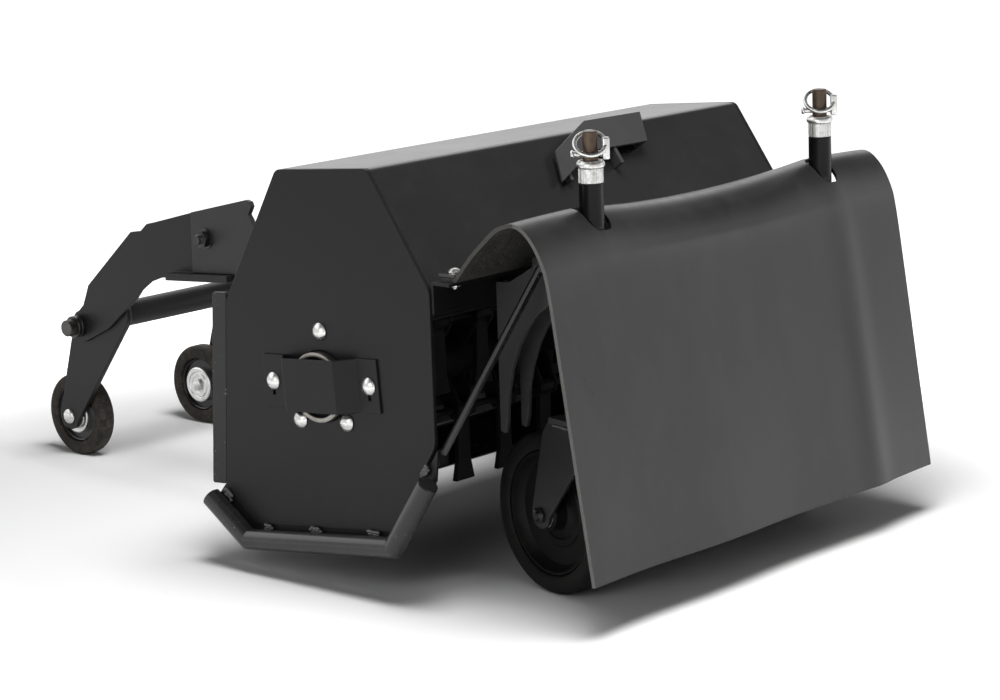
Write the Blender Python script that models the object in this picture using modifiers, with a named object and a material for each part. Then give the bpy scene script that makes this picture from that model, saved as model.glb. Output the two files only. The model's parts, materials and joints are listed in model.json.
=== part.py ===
# Hammer knife mower: a front-mounted rotary housing with a rotor of swinging knives,
# two swivel casters under a rubber front flap, and a two-wheeled hitch at the rear.
# x runs across the machine, -y points to the front, z is up and the ground is z = 0.
# Design places are written from a point under the housing; the empty named mower
# moves them all, so that the world origin is at the middle of the whole machine.

import math

import bmesh
import bpy
from mathutils import Matrix, Vector, geometry

# Clearance between neighbours that touch, and running clearance of shafts in bores
FIT_GAP = 0.0003
RUNNING_GAP = 0.0004
TYRE_SEAT = 0.0008

# Housing, seen from the side: y and z of its corners before the nose rises
HALF_INSIDE = 0.367
END_PLATE_T = 0.006
OUTER_X = HALF_INSIDE + END_PLATE_T
SHELL_T = 0.0035
NOSE_RISE = 0.075
TOP_Z = 0.536
TOP_FRONT_Y = -0.076
TOP_REAR_Y = 0.083
FRONT_Y = -0.174
FRONT_UPPER_Z = 0.387
FRONT_LOWER_Z = 0.194
BOTTOM_FRONT_Y = -0.101
BOTTOM_FRONT_Z = 0.080
BOTTOM_REAR_Y = 0.149
BOTTOM_REAR_Z = 0.072
REAR_UPPER_Y = 0.186
REAR_UPPER_Z = 0.367
REAR_LOWER_Y = 0.2035
REAR_LOWER_Z = 0.118
CORNER_R = 0.012

# Rotor
ROTOR_Y = 0.016
ROTOR_Z = 0.260
ROTOR_TUBE_R = 0.030
ROTOR_TUBE_HALF = HALF_INSIDE - 0.022
SHAFT_R = 0.0175
PIN_CIRCLE_R = 0.073
KNIFE_LENGTH = 0.096
KNIVES_A_ROW = 8
KNIFE_PITCH = (2 * ROTOR_TUBE_HALF - 0.034) / KNIVES_A_ROW
ROW_COUNT = 3
ROW_START_DEG = 24.0
KNIFE_T = 0.008
KNIFE_EYE_R = 0.012
KNIFE_SHANK_W = 0.022
KNIFE_TIP_W = 0.036
KNIFE_FLARE = 0.030
PIN_R = 0.005
EAR_T = 0.005
EAR_NOSE_R = 0.0135
EAR_FOOT_W = 0.028
EAR_SET_IN = 0.008
EAR_CLEAR = 0.0006
PIN_CLEAR = 0.0013

# Bearings and the folded guard on the near end
BEARING_BOLT_RISE = 0.070
BEARING_BOLT_DROP = 0.0445
BEARING_BOLT_HALF = 0.041
BEARING_LOBE_R = 0.0145
BEARING_T = 0.012
BEARING_FLANGE_T = 0.008
BEARING_RING_R = 0.0450
BEARING_HOLE_R = 0.030
BEARING_BODY_R = 0.0475
BOLT_SHANK_R = 0.0045
BOLT_CLEAR = 0.0008
GUARD_DEPTH = 0.022
GUARD_T = 0.003
GUARD_FACE_HALF = 0.046
GUARD_BASE_HALF = 0.064
GUARD_FLANGE_HALF = 0.101
GUARD_HEIGHT = 0.068
GUARD_LIFT = 0.004
GUARD_BOLT_SET_IN = 0.016

# Skids and rear strips
SKID_R = 0.0135
SKID_PATH = ((0.2190, 0.1070), (0.1510, 0.0545), (-0.1110, 0.0649), (-0.1732, 0.1508))
TACK_PLACES = (
    (0.1968, 0.1086), (0.1238, 0.0696), (0.0354, 0.0725),
    (-0.0678, 0.0760), (-0.1040, 0.0755), (-0.1590, 0.1630),
)
TACK_SIZE = (0.004, 0.022, 0.024)
STRIP_OUT = 0.026
STRIP_T = 0.006
STRIP_TOP_Z = 0.377
STRIP_BOTTOM_Z = 0.122

# Front rail, its flange and the flap clamp
RAIL_SIZE = 0.032
FLANGE_T = 0.004
FLANGE_REACH = 0.030
FLANGE_DROP = 0.040
CLAMP_W = 0.026
CLAMP_SET_BACK = 0.017
FLAP_BOLT_R = 0.004

# Front flap
FLAP_HALF = OUTER_X - 0.013
FLAP_BOLT_STEP = (FLAP_HALF - 0.015) / 2
FLAP_BOLT_XS = [FLAP_BOLT_STEP * index for index in (-2, -1, 0, 1, 2)]
FLAP_T = 0.005
FLAP_REAR_Y = -0.182
FLAP_CREST_Y = -0.300
FLAP_CREST_Z = 0.4915
FLAP_HINGE_Z = 0.412
FLAP_HEM_Y = -0.409
FLAP_HEM_Z = 0.066
FLAP_SAG = 0.014
FLAP_WAVE = 0.002
FLAP_HINGE_GAP = 0.006
SLOT_W = 0.044
SLOT_L = 0.0485
SLOT_SHIFT_X = 0.0025
SLOT_SHIFT_Y = 0.0038

# Casters
CASTER_X = HALF_INSIDE - 0.132
CASTER_Y = -0.317
STEM_R = 0.013
STEM_TOP_Z = 0.586
SLEEVE_R = 0.018
SLEEVE_BOTTOM_Z = 0.385
SLEEVE_TOP_Z = STEM_TOP_Z - 0.0625
COLLAR_R = 0.0170
COLLAR_H = 0.027
CROWN_Z = 0.232
CROWN_T = 0.007
RACE_R = 0.027
RACE_H = 0.014
SPACER_COUNT = 3
CASTER_TRAIL = 0.080
CASTER_SWIVEL_DEG = 12.0
CASTER_WHEEL_R = 0.103
CASTER_TYRE_W = 0.044
CASTER_RIM_R = 0.080
CASTER_HUB_R = 0.022
CASTER_AXLE_R = 0.006
FORK_PLATE_T = 0.005
FORK_GAP = 0.004
RING_Z = STEM_TOP_Z - 0.0154
RING_ACROSS = 0.0235
RING_ALONG = 0.0250
RING_TILT_DEG = 42.0
RING_WIRE_R = 0.0022
LOCK_PIN_R = 0.0035
LOCK_PIN_Z = STEM_TOP_Z - 0.0275
LOCK_PIN_DEG = -48.0
LOCK_PIN_REACH = 0.028

# Caster arms and braces
ARM_CHEEK_T = 0.006
BRACE_R = 0.0055

# Hitch at the rear
HITCH_X = 0.0495
ARM_SPREAD = 0.1525
ARM_PLATE_T = 0.006
BRACKET_T = 0.008
LINK_T = 0.008
PIVOT_Y = 0.802
PIVOT_Z = 0.209
PIVOT_BOLT_R = 0.009
CROSS_TUBE_Y = 0.722
CROSS_TUBE_Z = 0.232
CROSS_TUBE_R = 0.019
CROSS_TUBE_WALL = 0.003
REAR_AXLE_Y = 0.846
REAR_WHEEL_R = 0.0625
REAR_TYRE_W = 0.026
REAR_TYRE_INNER_R = 0.042
REAR_HUB_R = 0.028
REAR_AXLE_R = 0.006
HITCH_BOLT_Y = 0.5005
HITCH_BOLT_Z = 0.3687
HITCH_BOLT_R = 0.008
TUBE_DRAIN_R = 0.004
ARM_TOP_EDGE = (
    (0.4300, 0.4255), (0.5350, 0.4030), (0.6164, 0.3824), (0.6364, 0.3778),
    (0.6505, 0.3663), (0.6728, 0.3629), (0.7756, 0.2740), (0.7901, 0.2421),
)
ARM_LOWER_EDGE = (
    (0.7359, 0.2111), (0.6708, 0.2617), (0.6568, 0.2770), (0.6351, 0.2920),
    (0.6125, 0.3001), (0.5900, 0.3035), (0.4300, 0.3110),
)
ARM_END_R = 0.0215
ARM_FLANGE_FRONT_Y = 0.4485
ARM_FLANGE_REAR_Y = 0.5790
ARM_FLANGE_TOP_Z = 0.3169
ARM_FLANGE_SLOPE = 0.063
ARM_FLANGE_W = 0.026
ARM_FLANGE_T = 0.010
BRACKET_TOP_EDGE = (
    (0.300, 0.392), (0.385, 0.3925), (0.4005, 0.3950), (0.4050, 0.4040), (0.4098, 0.4103),
    (0.4029, 0.4221), (0.4060, 0.4290), (0.4144, 0.4311), (0.5300, 0.4045),
)
BRACKET_LOWER_EDGE = ((0.5320, 0.3162), (0.4473, 0.3216), (0.300, 0.250))

# Belt drive on the far end
DRIVE_Y = 0.262
DRIVE_Z = 0.332
ROTOR_SHEAVE_R = 0.045
DRIVE_SHEAVE_R = 0.055
SHEAVE_W = 0.020
BELT_T = 0.008
BELT_W = 0.013
BELT_SEAT = 0.0012
CASE_DEPTH = 0.047
CASE_X = OUTER_X + CASE_DEPTH
CASE_T = 0.003
CASE_ROTOR_R = 0.088
CASE_DRIVE_R = 0.078
DRIVE_SHAFT_R = 0.0125
DRIVE_SHAFT_INNER_X = HALF_INSIDE - 0.127
DRIVE_BEARING_X = HALF_INSIDE - 0.067

# Extent of the design, used to set the world origin at the middle of its box
NEAR_REACH = HALF_INSIDE + END_PLATE_T + FIT_GAP + 2 * SKID_R
FAR_REACH = CASE_X
REAR_REACH = REAR_AXLE_Y + REAR_WHEEL_R
FRONT_REACH = -FLAP_HEM_Y + FLAP_T / 2 + FLAP_WAVE

YZ = (math.radians(90), 0, math.radians(90))
XY = (0, 0, 0)
TURN_X = (0, math.radians(90), 0)
NEAR, FAR = -1, 1


for old in list(bpy.data.objects):
    bpy.data.objects.remove(old, do_unlink=True)

parts = bpy.data.collections.new("hammer_knife_mower")
bpy.context.scene.collection.children.link(parts)
workshop = bpy.data.collections.new("workshop")
bpy.context.scene.collection.children.link(workshop)


def material(name, colour, roughness, metallic):
    made = bpy.data.materials.new(name)
    made.use_nodes = True
    shader = made.node_tree.nodes["Principled BSDF"]
    shader.inputs["Base Color"].default_value = (*colour, 1)
    shader.inputs["Roughness"].default_value = roughness
    shader.inputs["Metallic"].default_value = metallic
    made.diffuse_color = (*colour, 1)
    return made


BLACK_PAINT = material("black_paint", (0.030, 0.030, 0.031), 0.42, 0.0)
DARK_STEEL = material("dark_steel", (0.045, 0.043, 0.042), 0.50, 0.6)
KNIFE_STEEL = material("knife_steel", (0.030, 0.030, 0.030), 0.55, 0.5)
ZINC = material("zinc", (0.72, 0.72, 0.71), 0.28, 1.0)
STEM_STEEL = material("stem_steel", (0.16, 0.12, 0.09), 0.45, 0.8)
TYRE_RUBBER = material("tyre_rubber", (0.040, 0.038, 0.037), 0.75, 0.0)
FLAP_RUBBER = material("flap_rubber", (0.085, 0.085, 0.085), 0.50, 0.0)
BLACK_OXIDE = material("black_oxide", (0.018, 0.018, 0.018), 0.38, 0.5)
BELT_RUBBER = material("belt_rubber", (0.025, 0.025, 0.025), 0.80, 0.0)

machine = bpy.data.objects.new("mower", None)
parts.objects.link(machine)
machine.location = ((NEAR_REACH - FAR_REACH) / 2, (FRONT_REACH - REAR_REACH) / 2, 0)


# Geometry helpers: each shape is a temporary object in design coordinates

def deck_point(y, z):
    """A point of the housing's side view, with its long edges rising to the nose."""
    return (y, z - y * NOSE_RISE)


def rounded(corners, radii, closed=True, steps=3):
    """A polyline whose corners are replaced by arcs of the given radii."""
    count = len(corners)
    if not hasattr(radii, "__len__"):
        radii = [radii] * count
    outline = []
    for index, corner in enumerate(corners):
        here = Vector(corner)
        if (not closed and index in (0, count - 1)) or radii[index] <= 0:
            outline.append(tuple(here))
            continue
        before = (Vector(corners[index - 1]) - here).normalized()
        after = (Vector(corners[(index + 1) % count]) - here).normalized()
        half_angle = before.angle(after) / 2
        reach = radii[index] / math.tan(half_angle)
        centre = here + (before + after).normalized() * radii[index] / math.sin(half_angle)
        start = here + before * reach - centre
        end = here + after * reach - centre
        for step in range(steps + 1):
            blend = start.lerp(end, step / steps).normalized() * radii[index]
            outline.append(tuple(centre + blend))
    return outline


def circle(centre, radius, sides=16, start=0.0, sweep=2 * math.pi):
    """Points round a circle, or along an arc of it, in a plane outline."""
    closed = abs(sweep - 2 * math.pi) < 1e-9
    count = sides if closed else sides + 1
    points = []
    for index in range(count):
        angle = start + sweep * index / sides
        points.append((centre[0] + radius * math.cos(angle), centre[1] + radius * math.sin(angle)))
    return points


def temporary(data, place=(0, 0, 0), turn=(0, 0, 0)):
    shape = bpy.data.objects.new("shape", data)
    workshop.objects.link(shape)
    shape.location = place
    shape.rotation_euler = turn
    return shape


def bake(shape):
    """The shape's evaluated mesh, welded and moved to its place, with the shape removed."""
    bpy.context.view_layer.update()
    evaluated = shape.evaluated_get(bpy.context.evaluated_depsgraph_get())
    mesh = bpy.data.meshes.new_from_object(evaluated)
    mesh.transform(shape.matrix_world)
    welded = bmesh.new()
    welded.from_mesh(mesh)
    bmesh.ops.remove_doubles(welded, verts=welded.verts, dist=0.00001)
    welded.to_mesh(mesh)
    welded.free()
    bpy.data.objects.remove(shape, do_unlink=True)
    return mesh


def plate(loops, thickness, place=(0, 0, 0), turn=YZ):
    """A flat outline, with any further loops as holes, given a thickness about its middle."""
    curve = bpy.data.curves.new("outline", "CURVE")
    curve.dimensions = "2D"
    curve.fill_mode = "BOTH"
    curve.extrude = thickness / 2
    for loop in loops:
        spline = curve.splines.new("POLY")
        spline.points.add(len(loop) - 1)
        for point, (u, v) in zip(spline.points, loop):
            point.co = (u, v, 0, 1)
        spline.use_cyclic_u = True
    return temporary(curve, place, turn)


def box(size, place, turn=(0, 0, 0), bevel=0.0):
    mesh = bpy.data.meshes.new("box")
    solid = bmesh.new()
    bmesh.ops.create_cube(solid, size=1)
    bmesh.ops.scale(solid, vec=size, verts=solid.verts)
    solid.to_mesh(mesh)
    solid.free()
    shape = temporary(mesh, place, turn)
    if bevel:
        edge = shape.modifiers.new("edges", "BEVEL")
        edge.width = bevel
        edge.segments = 1
    return shape


def cylinder(radius, length, place, turn=(0, 0, 0), sides=20):
    mesh = bpy.data.meshes.new("cylinder")
    solid = bmesh.new()
    bmesh.ops.create_cone(solid, cap_ends=True, segments=sides, radius1=radius, radius2=radius, depth=length)
    solid.to_mesh(mesh)
    solid.free()
    return temporary(mesh, place, turn)


def turned(profile, place, turn=(0, 0, 0), steps=24, closed=False):
    """A profile of (radius, height) points, top to bottom down its outer side, turned round z."""
    mesh = bpy.data.meshes.new("turned")
    points = [(radius, 0, height) for radius, height in profile]
    edges = [(index, index + 1) for index in range(len(points) - 1)]
    if closed:
        edges.append((len(points) - 1, 0))
    mesh.from_pydata(points, edges, [])
    shape = temporary(mesh, place, turn)
    screw = shape.modifiers.new("turn", "SCREW")
    screw.axis = "Z"
    screw.steps = steps
    screw.render_steps = steps
    screw.use_merge_vertices = True
    screw.merge_threshold = 0.00001
    return shape


def washer_ring(inner, outer, height, place, turn=(0, 0, 0), steps=20):
    """A plain ring with a square section, its middle at the given place."""
    half = height / 2
    section = [(outer, half), (outer, -half), (inner, -half), (inner, half)]
    return turned(section, place, turn, steps, closed=True)


def rod(points, radius, sides=2, cyclic=False):
    """A round bar along points; sides sets the roundness of its section."""
    curve = bpy.data.curves.new("rod", "CURVE")
    curve.dimensions = "3D"
    curve.bevel_depth = radius
    curve.bevel_resolution = sides
    curve.use_fill_caps = True
    spline = curve.splines.new("POLY")
    spline.points.add(len(points) - 1)
    for point, place in zip(spline.points, points):
        point.co = (*place, 1)
    spline.use_cyclic_u = cyclic
    return temporary(curve)


def combine(base, others, operation):
    """The base shape joined with, or cut by, the other shapes with exact Booleans."""
    result = temporary(bake(base))
    for other in others:
        tool = temporary(bake(other))
        tool.hide_render = True
        tool.display_type = "WIRE"
        step = result.modifiers.new(operation.lower(), "BOOLEAN")
        step.operation = operation
        step.solver = "EXACT"
        step.object = tool
        mesh = bake(result)
        bpy.data.objects.remove(tool, do_unlink=True)
        result = temporary(mesh)
    return result


def together(shapes):
    """Shapes that don't touch each other, as one shape for a Boolean."""
    joined = bmesh.new()
    for shape in shapes:
        mesh = bake(shape)
        joined.from_mesh(mesh)
        bpy.data.meshes.remove(mesh)
    mesh = bpy.data.meshes.new("together")
    joined.to_mesh(mesh)
    joined.free()
    return temporary(mesh)


def node(name, shape, finish, pivot=(0, 0, 0), parent=None):
    """One named sub-part made of the given shape, with its origin at the pivot."""
    mesh = bake(shape)
    mesh.name = name
    mesh.transform(Matrix.Translation(-Vector(pivot)))
    mesh.materials.clear()
    mesh.materials.append(finish)
    for face in mesh.polygons:
        face.material_index = 0
    mesh.shade_smooth()
    mesh.set_sharp_from_angle(angle=math.radians(32))
    made = bpy.data.objects.new(name, mesh)
    parts.objects.link(made)
    carrier = parent or machine
    made.parent = carrier
    made.location = Vector(pivot) - Vector(carrier.get("design_place", (0, 0, 0)))
    return made


def joint_empty(name, place, parent=None):
    """An empty on a joint's axis, which carries the pieces that turn about it."""
    made = bpy.data.objects.new(name, None)
    parts.objects.link(made)
    carrier = parent or machine
    made.parent = carrier
    made.location = Vector(place) - Vector(carrier.get("design_place", (0, 0, 0)))
    made["design_place"] = tuple(place)
    return made


# Housing

def side_outline():
    corners = [
        deck_point(TOP_REAR_Y, TOP_Z),
        deck_point(TOP_FRONT_Y, TOP_Z),
        deck_point(FRONT_Y, FRONT_UPPER_Z),
        deck_point(FRONT_Y, FRONT_LOWER_Z),
        deck_point(BOTTOM_FRONT_Y, BOTTOM_FRONT_Z),
        deck_point(BOTTOM_REAR_Y, BOTTOM_REAR_Z),
        deck_point(REAR_LOWER_Y, REAR_LOWER_Z),
        deck_point(REAR_UPPER_Y, REAR_UPPER_Z),
    ]
    radii = [CORNER_R, CORNER_R, CORNER_R * 2, CORNER_R * 2, 0.003, 0.003, CORNER_R, CORNER_R]
    return rounded(corners, radii)


def build_end_plates():
    for name, side in (("near_end_plate", NEAR), ("far_end_plate", FAR)):
        ring_hole = circle((ROTOR_Y, ROTOR_Z), BEARING_RING_R + BOLT_CLEAR, 24)
        middle = side * (HALF_INSIDE + END_PLATE_T / 2)
        loops = [side_outline(), ring_hole] + bolt_holes(side)
        node(name, plate(loops, END_PLATE_T, (middle, 0, 0)), BLACK_PAINT)


def build_hood_shell():
    corners = [
        deck_point(FRONT_Y, FRONT_UPPER_Z),
        deck_point(TOP_FRONT_Y, TOP_Z),
        deck_point(TOP_REAR_Y, TOP_Z),
        deck_point(REAR_UPPER_Y, REAR_UPPER_Z),
        deck_point(REAR_LOWER_Y, REAR_LOWER_Z),
        deck_point(BOTTOM_REAR_Y, BOTTOM_REAR_Z),
    ]
    path = rounded(corners, [0, CORNER_R, CORNER_R, CORNER_R, CORNER_R, 0], closed=False)
    half = HALF_INSIDE - FIT_GAP
    sheet = bmesh.new()
    first = [sheet.verts.new((-half, y, z)) for y, z in path]
    edges = [sheet.edges.new(pair) for pair in zip(first, first[1:])]
    swept = bmesh.ops.extrude_edge_only(sheet, edges=edges)
    moved = [item for item in swept["geom"] if isinstance(item, bmesh.types.BMVert)]
    bmesh.ops.translate(sheet, vec=(2 * half, 0, 0), verts=moved)
    bmesh.ops.recalc_face_normals(sheet, faces=sheet.faces)
    sheet.normal_update()
    axis = Vector((0, ROTOR_Y, ROTOR_Z))
    outward = sum((face.calc_center_median() - axis).dot(face.normal) for face in sheet.faces)
    if outward < 0:
        bmesh.ops.reverse_faces(sheet, faces=sheet.faces)
    mesh = bpy.data.meshes.new("hood")
    sheet.to_mesh(mesh)
    sheet.free()
    shape = temporary(mesh)
    wall = shape.modifiers.new("wall", "SOLIDIFY")
    wall.thickness = SHELL_T
    wall.offset = -1
    wall.use_even_offset = True
    node("hood_shell", shape, BLACK_PAINT)


def build_skids():
    """A round bar bent round the lower edge of each end plate and tacked to its outer face."""
    path = [deck_point(y, z) for y, z in SKID_PATH]
    for label, side in (("near", NEAR), ("far", FAR)):
        x = side * (OUTER_X + FIT_GAP + SKID_R)
        bar = rod([(x, y, z) for y, z in path], SKID_R, 3)
        welds = []
        for y, z in TACK_PLACES:
            tack_x = side * (OUTER_X + FIT_GAP + TACK_SIZE[0] / 2)
            welds.append(box(TACK_SIZE, (tack_x, *deck_point(y, z))))
        node(label + "_skid", combine(bar, [together(welds)], "UNION"), BLACK_PAINT)


def build_rear_strips():
    slope = (REAR_LOWER_Y - REAR_UPPER_Y) / (REAR_LOWER_Z - REAR_UPPER_Z)
    corners = []
    for z, out in ((STRIP_TOP_Z, FIT_GAP), (STRIP_TOP_Z, STRIP_OUT),
                   (STRIP_BOTTOM_Z, STRIP_OUT), (STRIP_BOTTOM_Z, FIT_GAP)):
        edge = REAR_UPPER_Y + slope * (z - REAR_UPPER_Z)
        corners.append(deck_point(edge + out, z))
    outline = rounded(corners, 0.002, steps=1)
    reach = HALF_INSIDE + END_PLATE_T / 2
    node("near_rear_strip", plate([outline], STRIP_T, (-reach, 0, 0)), BLACK_PAINT)
    node("far_rear_strip", plate([outline], STRIP_T, (reach, 0, 0)), BLACK_PAINT)


# Front rail, flange and flap clamp

def rail_face_y():
    return FRONT_Y - FIT_GAP


def flange_top_z():
    return deck_point(FRONT_Y, FRONT_UPPER_Z)[1] + 0.0105


def build_front_rail():
    middle_y = FRONT_Y + RAIL_SIZE / 2
    middle_z = deck_point(FRONT_Y, FRONT_UPPER_Z)[1] - RAIL_SIZE / 2 - 0.006
    half = RAIL_SIZE / 2
    wall = 0.003
    outer = rounded([(-half, -half), (half, -half), (half, half), (-half, half)], 0.004, steps=2)
    inner_half = half - wall
    inner = [(sign_u * inner_half, sign_v * inner_half) for sign_u, sign_v in ((-1, -1), (1, -1), (1, 1), (-1, 1))]
    tube = plate([outer, inner], 2 * (HALF_INSIDE - FIT_GAP), (0, middle_y, middle_z))
    node("front_rail", tube, BLACK_PAINT)

    top = flange_top_z()
    face = rail_face_y()
    corners = [
        (face, top - FLANGE_DROP),
        (face, top),
        (face - FLANGE_REACH, top),
        (face - FLANGE_REACH, top - FLANGE_T),
        (face - FLANGE_T, top - FLANGE_T),
        (face - FLANGE_T, top - FLANGE_DROP),
    ]
    angle = plate([corners], 2 * (OUTER_X - 0.003), (0, 0, 0))
    bolt_y = face - CLAMP_SET_BACK
    holes = [cylinder(FLAP_BOLT_R + FIT_GAP, 0.02, (x, bolt_y, top), sides=10) for x in FLAP_BOLT_XS]
    node("flap_flange", combine(angle, [together(holes)], "DIFFERENCE"), BLACK_PAINT)

    clamp_z = top + FIT_GAP + FLAP_T + FIT_GAP + 0.002
    clamp = box((2 * FLAP_HALF, CLAMP_W, 0.004), (0, bolt_y, clamp_z), bevel=0.001)
    head_z = clamp_z + 0.002 - 0.0005
    nut_z = top - FLANGE_T - FIT_GAP
    profile = [
        (0, head_z + 0.0065), (0.0065, head_z + 0.0045), (0.009, head_z),
        (FLAP_BOLT_R, head_z), (FLAP_BOLT_R, nut_z), (0.0075, nut_z), (0.0075, nut_z - 0.009),
        (0, nut_z - 0.009),
    ]
    bolts = [turned(profile, (x, bolt_y, 0), steps=8) for x in FLAP_BOLT_XS]
    node("flap_clamp", combine(clamp, [together(bolts)], "UNION"), BLACK_PAINT)


# Front flap: one sheet of rubber over the casters, in its fixed and its hanging part

def flap_stations():
    top = flange_top_z() + FIT_GAP + FLAP_T / 2
    lean = (FLAP_HEM_Y - FLAP_CREST_Y + 0.052) / (FLAP_HEM_Z - FLAP_CREST_Z + 0.080)
    hinge_y = FLAP_CREST_Y - 0.053
    return [
        (FLAP_REAR_Y, top),
        (rail_face_y() - FLANGE_REACH - 0.001, top),
        (FLAP_CREST_Y + 0.066, FLAP_CREST_Z - 0.045),
        (FLAP_CREST_Y + 0.034, FLAP_CREST_Z - 0.014),
        (FLAP_CREST_Y, FLAP_CREST_Z - 0.001),
        (FLAP_CREST_Y - 0.024, FLAP_CREST_Z - 0.014),
        (FLAP_CREST_Y - 0.043, FLAP_CREST_Z - 0.044),
        (hinge_y, FLAP_HINGE_Z),
        (hinge_y + lean * -0.100, FLAP_HINGE_Z - 0.100),
        (hinge_y + (FLAP_HEM_Y - hinge_y) * 0.62, FLAP_HINGE_Z + (FLAP_HEM_Z - FLAP_HINGE_Z) * 0.62),
        (FLAP_HEM_Y, FLAP_HEM_Z),
    ]


HINGE_STATION = 7


def smooth_path(stations, per_span):
    """A smooth curve through the stations, with even steps in each span."""
    points = []
    for index in range(len(stations) - 1):
        here, there = Vector(stations[index]), Vector(stations[index + 1])
        before = Vector(stations[max(index - 1, 0)])
        after = Vector(stations[min(index + 2, len(stations) - 1)])
        handle_out = here + (there - before) / 6
        handle_in = there - (after - here) / 6
        span = geometry.interpolate_bezier(here.to_3d(), handle_out.to_3d(), handle_in.to_3d(),
                                           there.to_3d(), per_span + 1)
        points.extend(point.to_2d() for point in span[:-1])
    points.append(Vector(stations[-1]))
    return points


def flap_drop(x, share):
    """How far the crest sinks between the two stems; share is 1 on the crest."""
    inside = max(0.0, 1 - (x / CASTER_X) ** 2)
    edge = max(0.0, (abs(x) - CASTER_X) / (FLAP_HALF - CASTER_X))
    return FLAP_SAG * share * (inside + 0.25 * edge ** 2)


def crest_share(along):
    """The crest's share of the sag, from 0 behind the flange to 1 on the crest."""
    return math.sin(math.pi * min(1, max(0, along - 0.09))) ** 2


def flap_sheet(path, share_of, wave_of, columns):
    """A sheet of rubber over the path, sagging between the stems and waving at its hem."""
    sheet = bmesh.new()
    bmesh.ops.create_grid(sheet, x_segments=columns, y_segments=len(path) - 1, size=0.5)
    rows = len(path) - 1
    for vertex in sheet.verts:
        along = round((vertex.co.y + 0.5) * rows)
        x = vertex.co.x * 2 * FLAP_HALF
        y, z = path[along]
        wave = wave_of(along / rows) * math.sin(2 * math.pi * x / 0.31 + 0.6)
        vertex.co = (x, y + wave, z - flap_drop(x, share_of(along / rows)))
    mesh = bpy.data.meshes.new("flap")
    sheet.to_mesh(mesh)
    sheet.free()
    shape = temporary(mesh)
    wall = shape.modifiers.new("thickness", "SOLIDIFY")
    wall.thickness = FLAP_T
    wall.offset = 0
    wall.use_even_offset = True
    return shape


def build_flap(flap_pivot):
    stations = flap_stations()
    top_path = [Vector(stations[0])] + smooth_path(stations[1:HINGE_STATION + 1], 2)
    front_path = smooth_path(stations[HINGE_STATION:], 3)
    half_gap = FLAP_HINGE_GAP / 2
    top_path[-1] = top_path[-1] + (top_path[-2] - top_path[-1]).normalized() * half_gap
    front_path[0] = front_path[0] + (front_path[1] - front_path[0]).normalized() * half_gap
    top = flap_sheet(top_path, crest_share, lambda s: 0.0, 12)
    cuts = []
    for side in (NEAR, FAR):
        place = (side * CASTER_X + SLOT_SHIFT_X, CASTER_Y + SLOT_SHIFT_Y, FLAP_CREST_Z)
        cuts.append(box((SLOT_W, SLOT_L, 0.12), place, bevel=0.006))
    bolt_y = rail_face_y() - CLAMP_SET_BACK
    for x in FLAP_BOLT_XS:
        cuts.append(cylinder(FLAP_BOLT_R + FIT_GAP, 0.03, (x, bolt_y, flange_top_z()), sides=10))
    node("flap_top", combine(top, [together(cuts)], "DIFFERENCE"), FLAP_RUBBER)
    front = flap_sheet(front_path, lambda s: 0.0, lambda s: FLAP_WAVE * s ** 2, 18)
    node("flap_front", front, FLAP_RUBBER, stations_pivot(), flap_pivot)


def stations_pivot():
    y, z = flap_stations()[HINGE_STATION]
    return (0, y, z)


# Rotor with its swinging knives

def row_angle(row):
    return math.radians(ROW_START_DEG + row * 360 / ROW_COUNT)


def row_pin(row):
    """Centre of a row's knife pins, its angle measured from straight down to the front."""
    angle = row_angle(row)
    return (ROTOR_Y - PIN_CIRCLE_R * math.sin(angle), ROTOR_Z - PIN_CIRCLE_R * math.cos(angle))


def row_places(row):
    """The knives' places across the rotor; each row is stepped by its share of the pitch."""
    step = KNIFE_PITCH * (row - 1) / ROW_COUNT
    middle = (KNIVES_A_ROW - 1) / 2
    return [KNIFE_PITCH * (index - middle) + step for index in range(KNIVES_A_ROW)]


def knife_blade(x, y, z):
    """A blade that hangs straight down from its pin: a shank and a flared hammer edge."""
    flare_z = -KNIFE_LENGTH + KNIFE_FLARE
    outline = [
        (-KNIFE_SHANK_W / 2, 0), (-KNIFE_SHANK_W / 2, flare_z), (-KNIFE_TIP_W / 2, -KNIFE_LENGTH),
        (KNIFE_TIP_W / 2, -KNIFE_LENGTH), (KNIFE_SHANK_W / 2, flare_z), (KNIFE_SHANK_W / 2, 0),
    ]
    return plate([outline], KNIFE_T, (x, y, z), (math.radians(90), 0, 0))


def ear_outline(row):
    """Side view of an ear: wide at the tube and round at the pin."""
    angle = row_angle(row)
    out = Vector((-math.sin(angle), -math.cos(angle)))
    across = Vector((out.y, -out.x))
    centre = Vector((ROTOR_Y, ROTOR_Z))
    root = centre + out * (ROTOR_TUBE_R - EAR_SET_IN)
    pin = Vector(row_pin(row))
    start = math.atan2(across.y, across.x)
    nose = circle(pin, EAR_NOSE_R, 3, start, math.pi)
    if Vector(nose[1]).dot(out) < pin.dot(out):
        nose = circle(pin, EAR_NOSE_R, 3, start, -math.pi)
    foot = EAR_FOOT_W / 2
    outline = [tuple(root + across * foot)] + nose + [tuple(root - across * foot)]
    return outline


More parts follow.
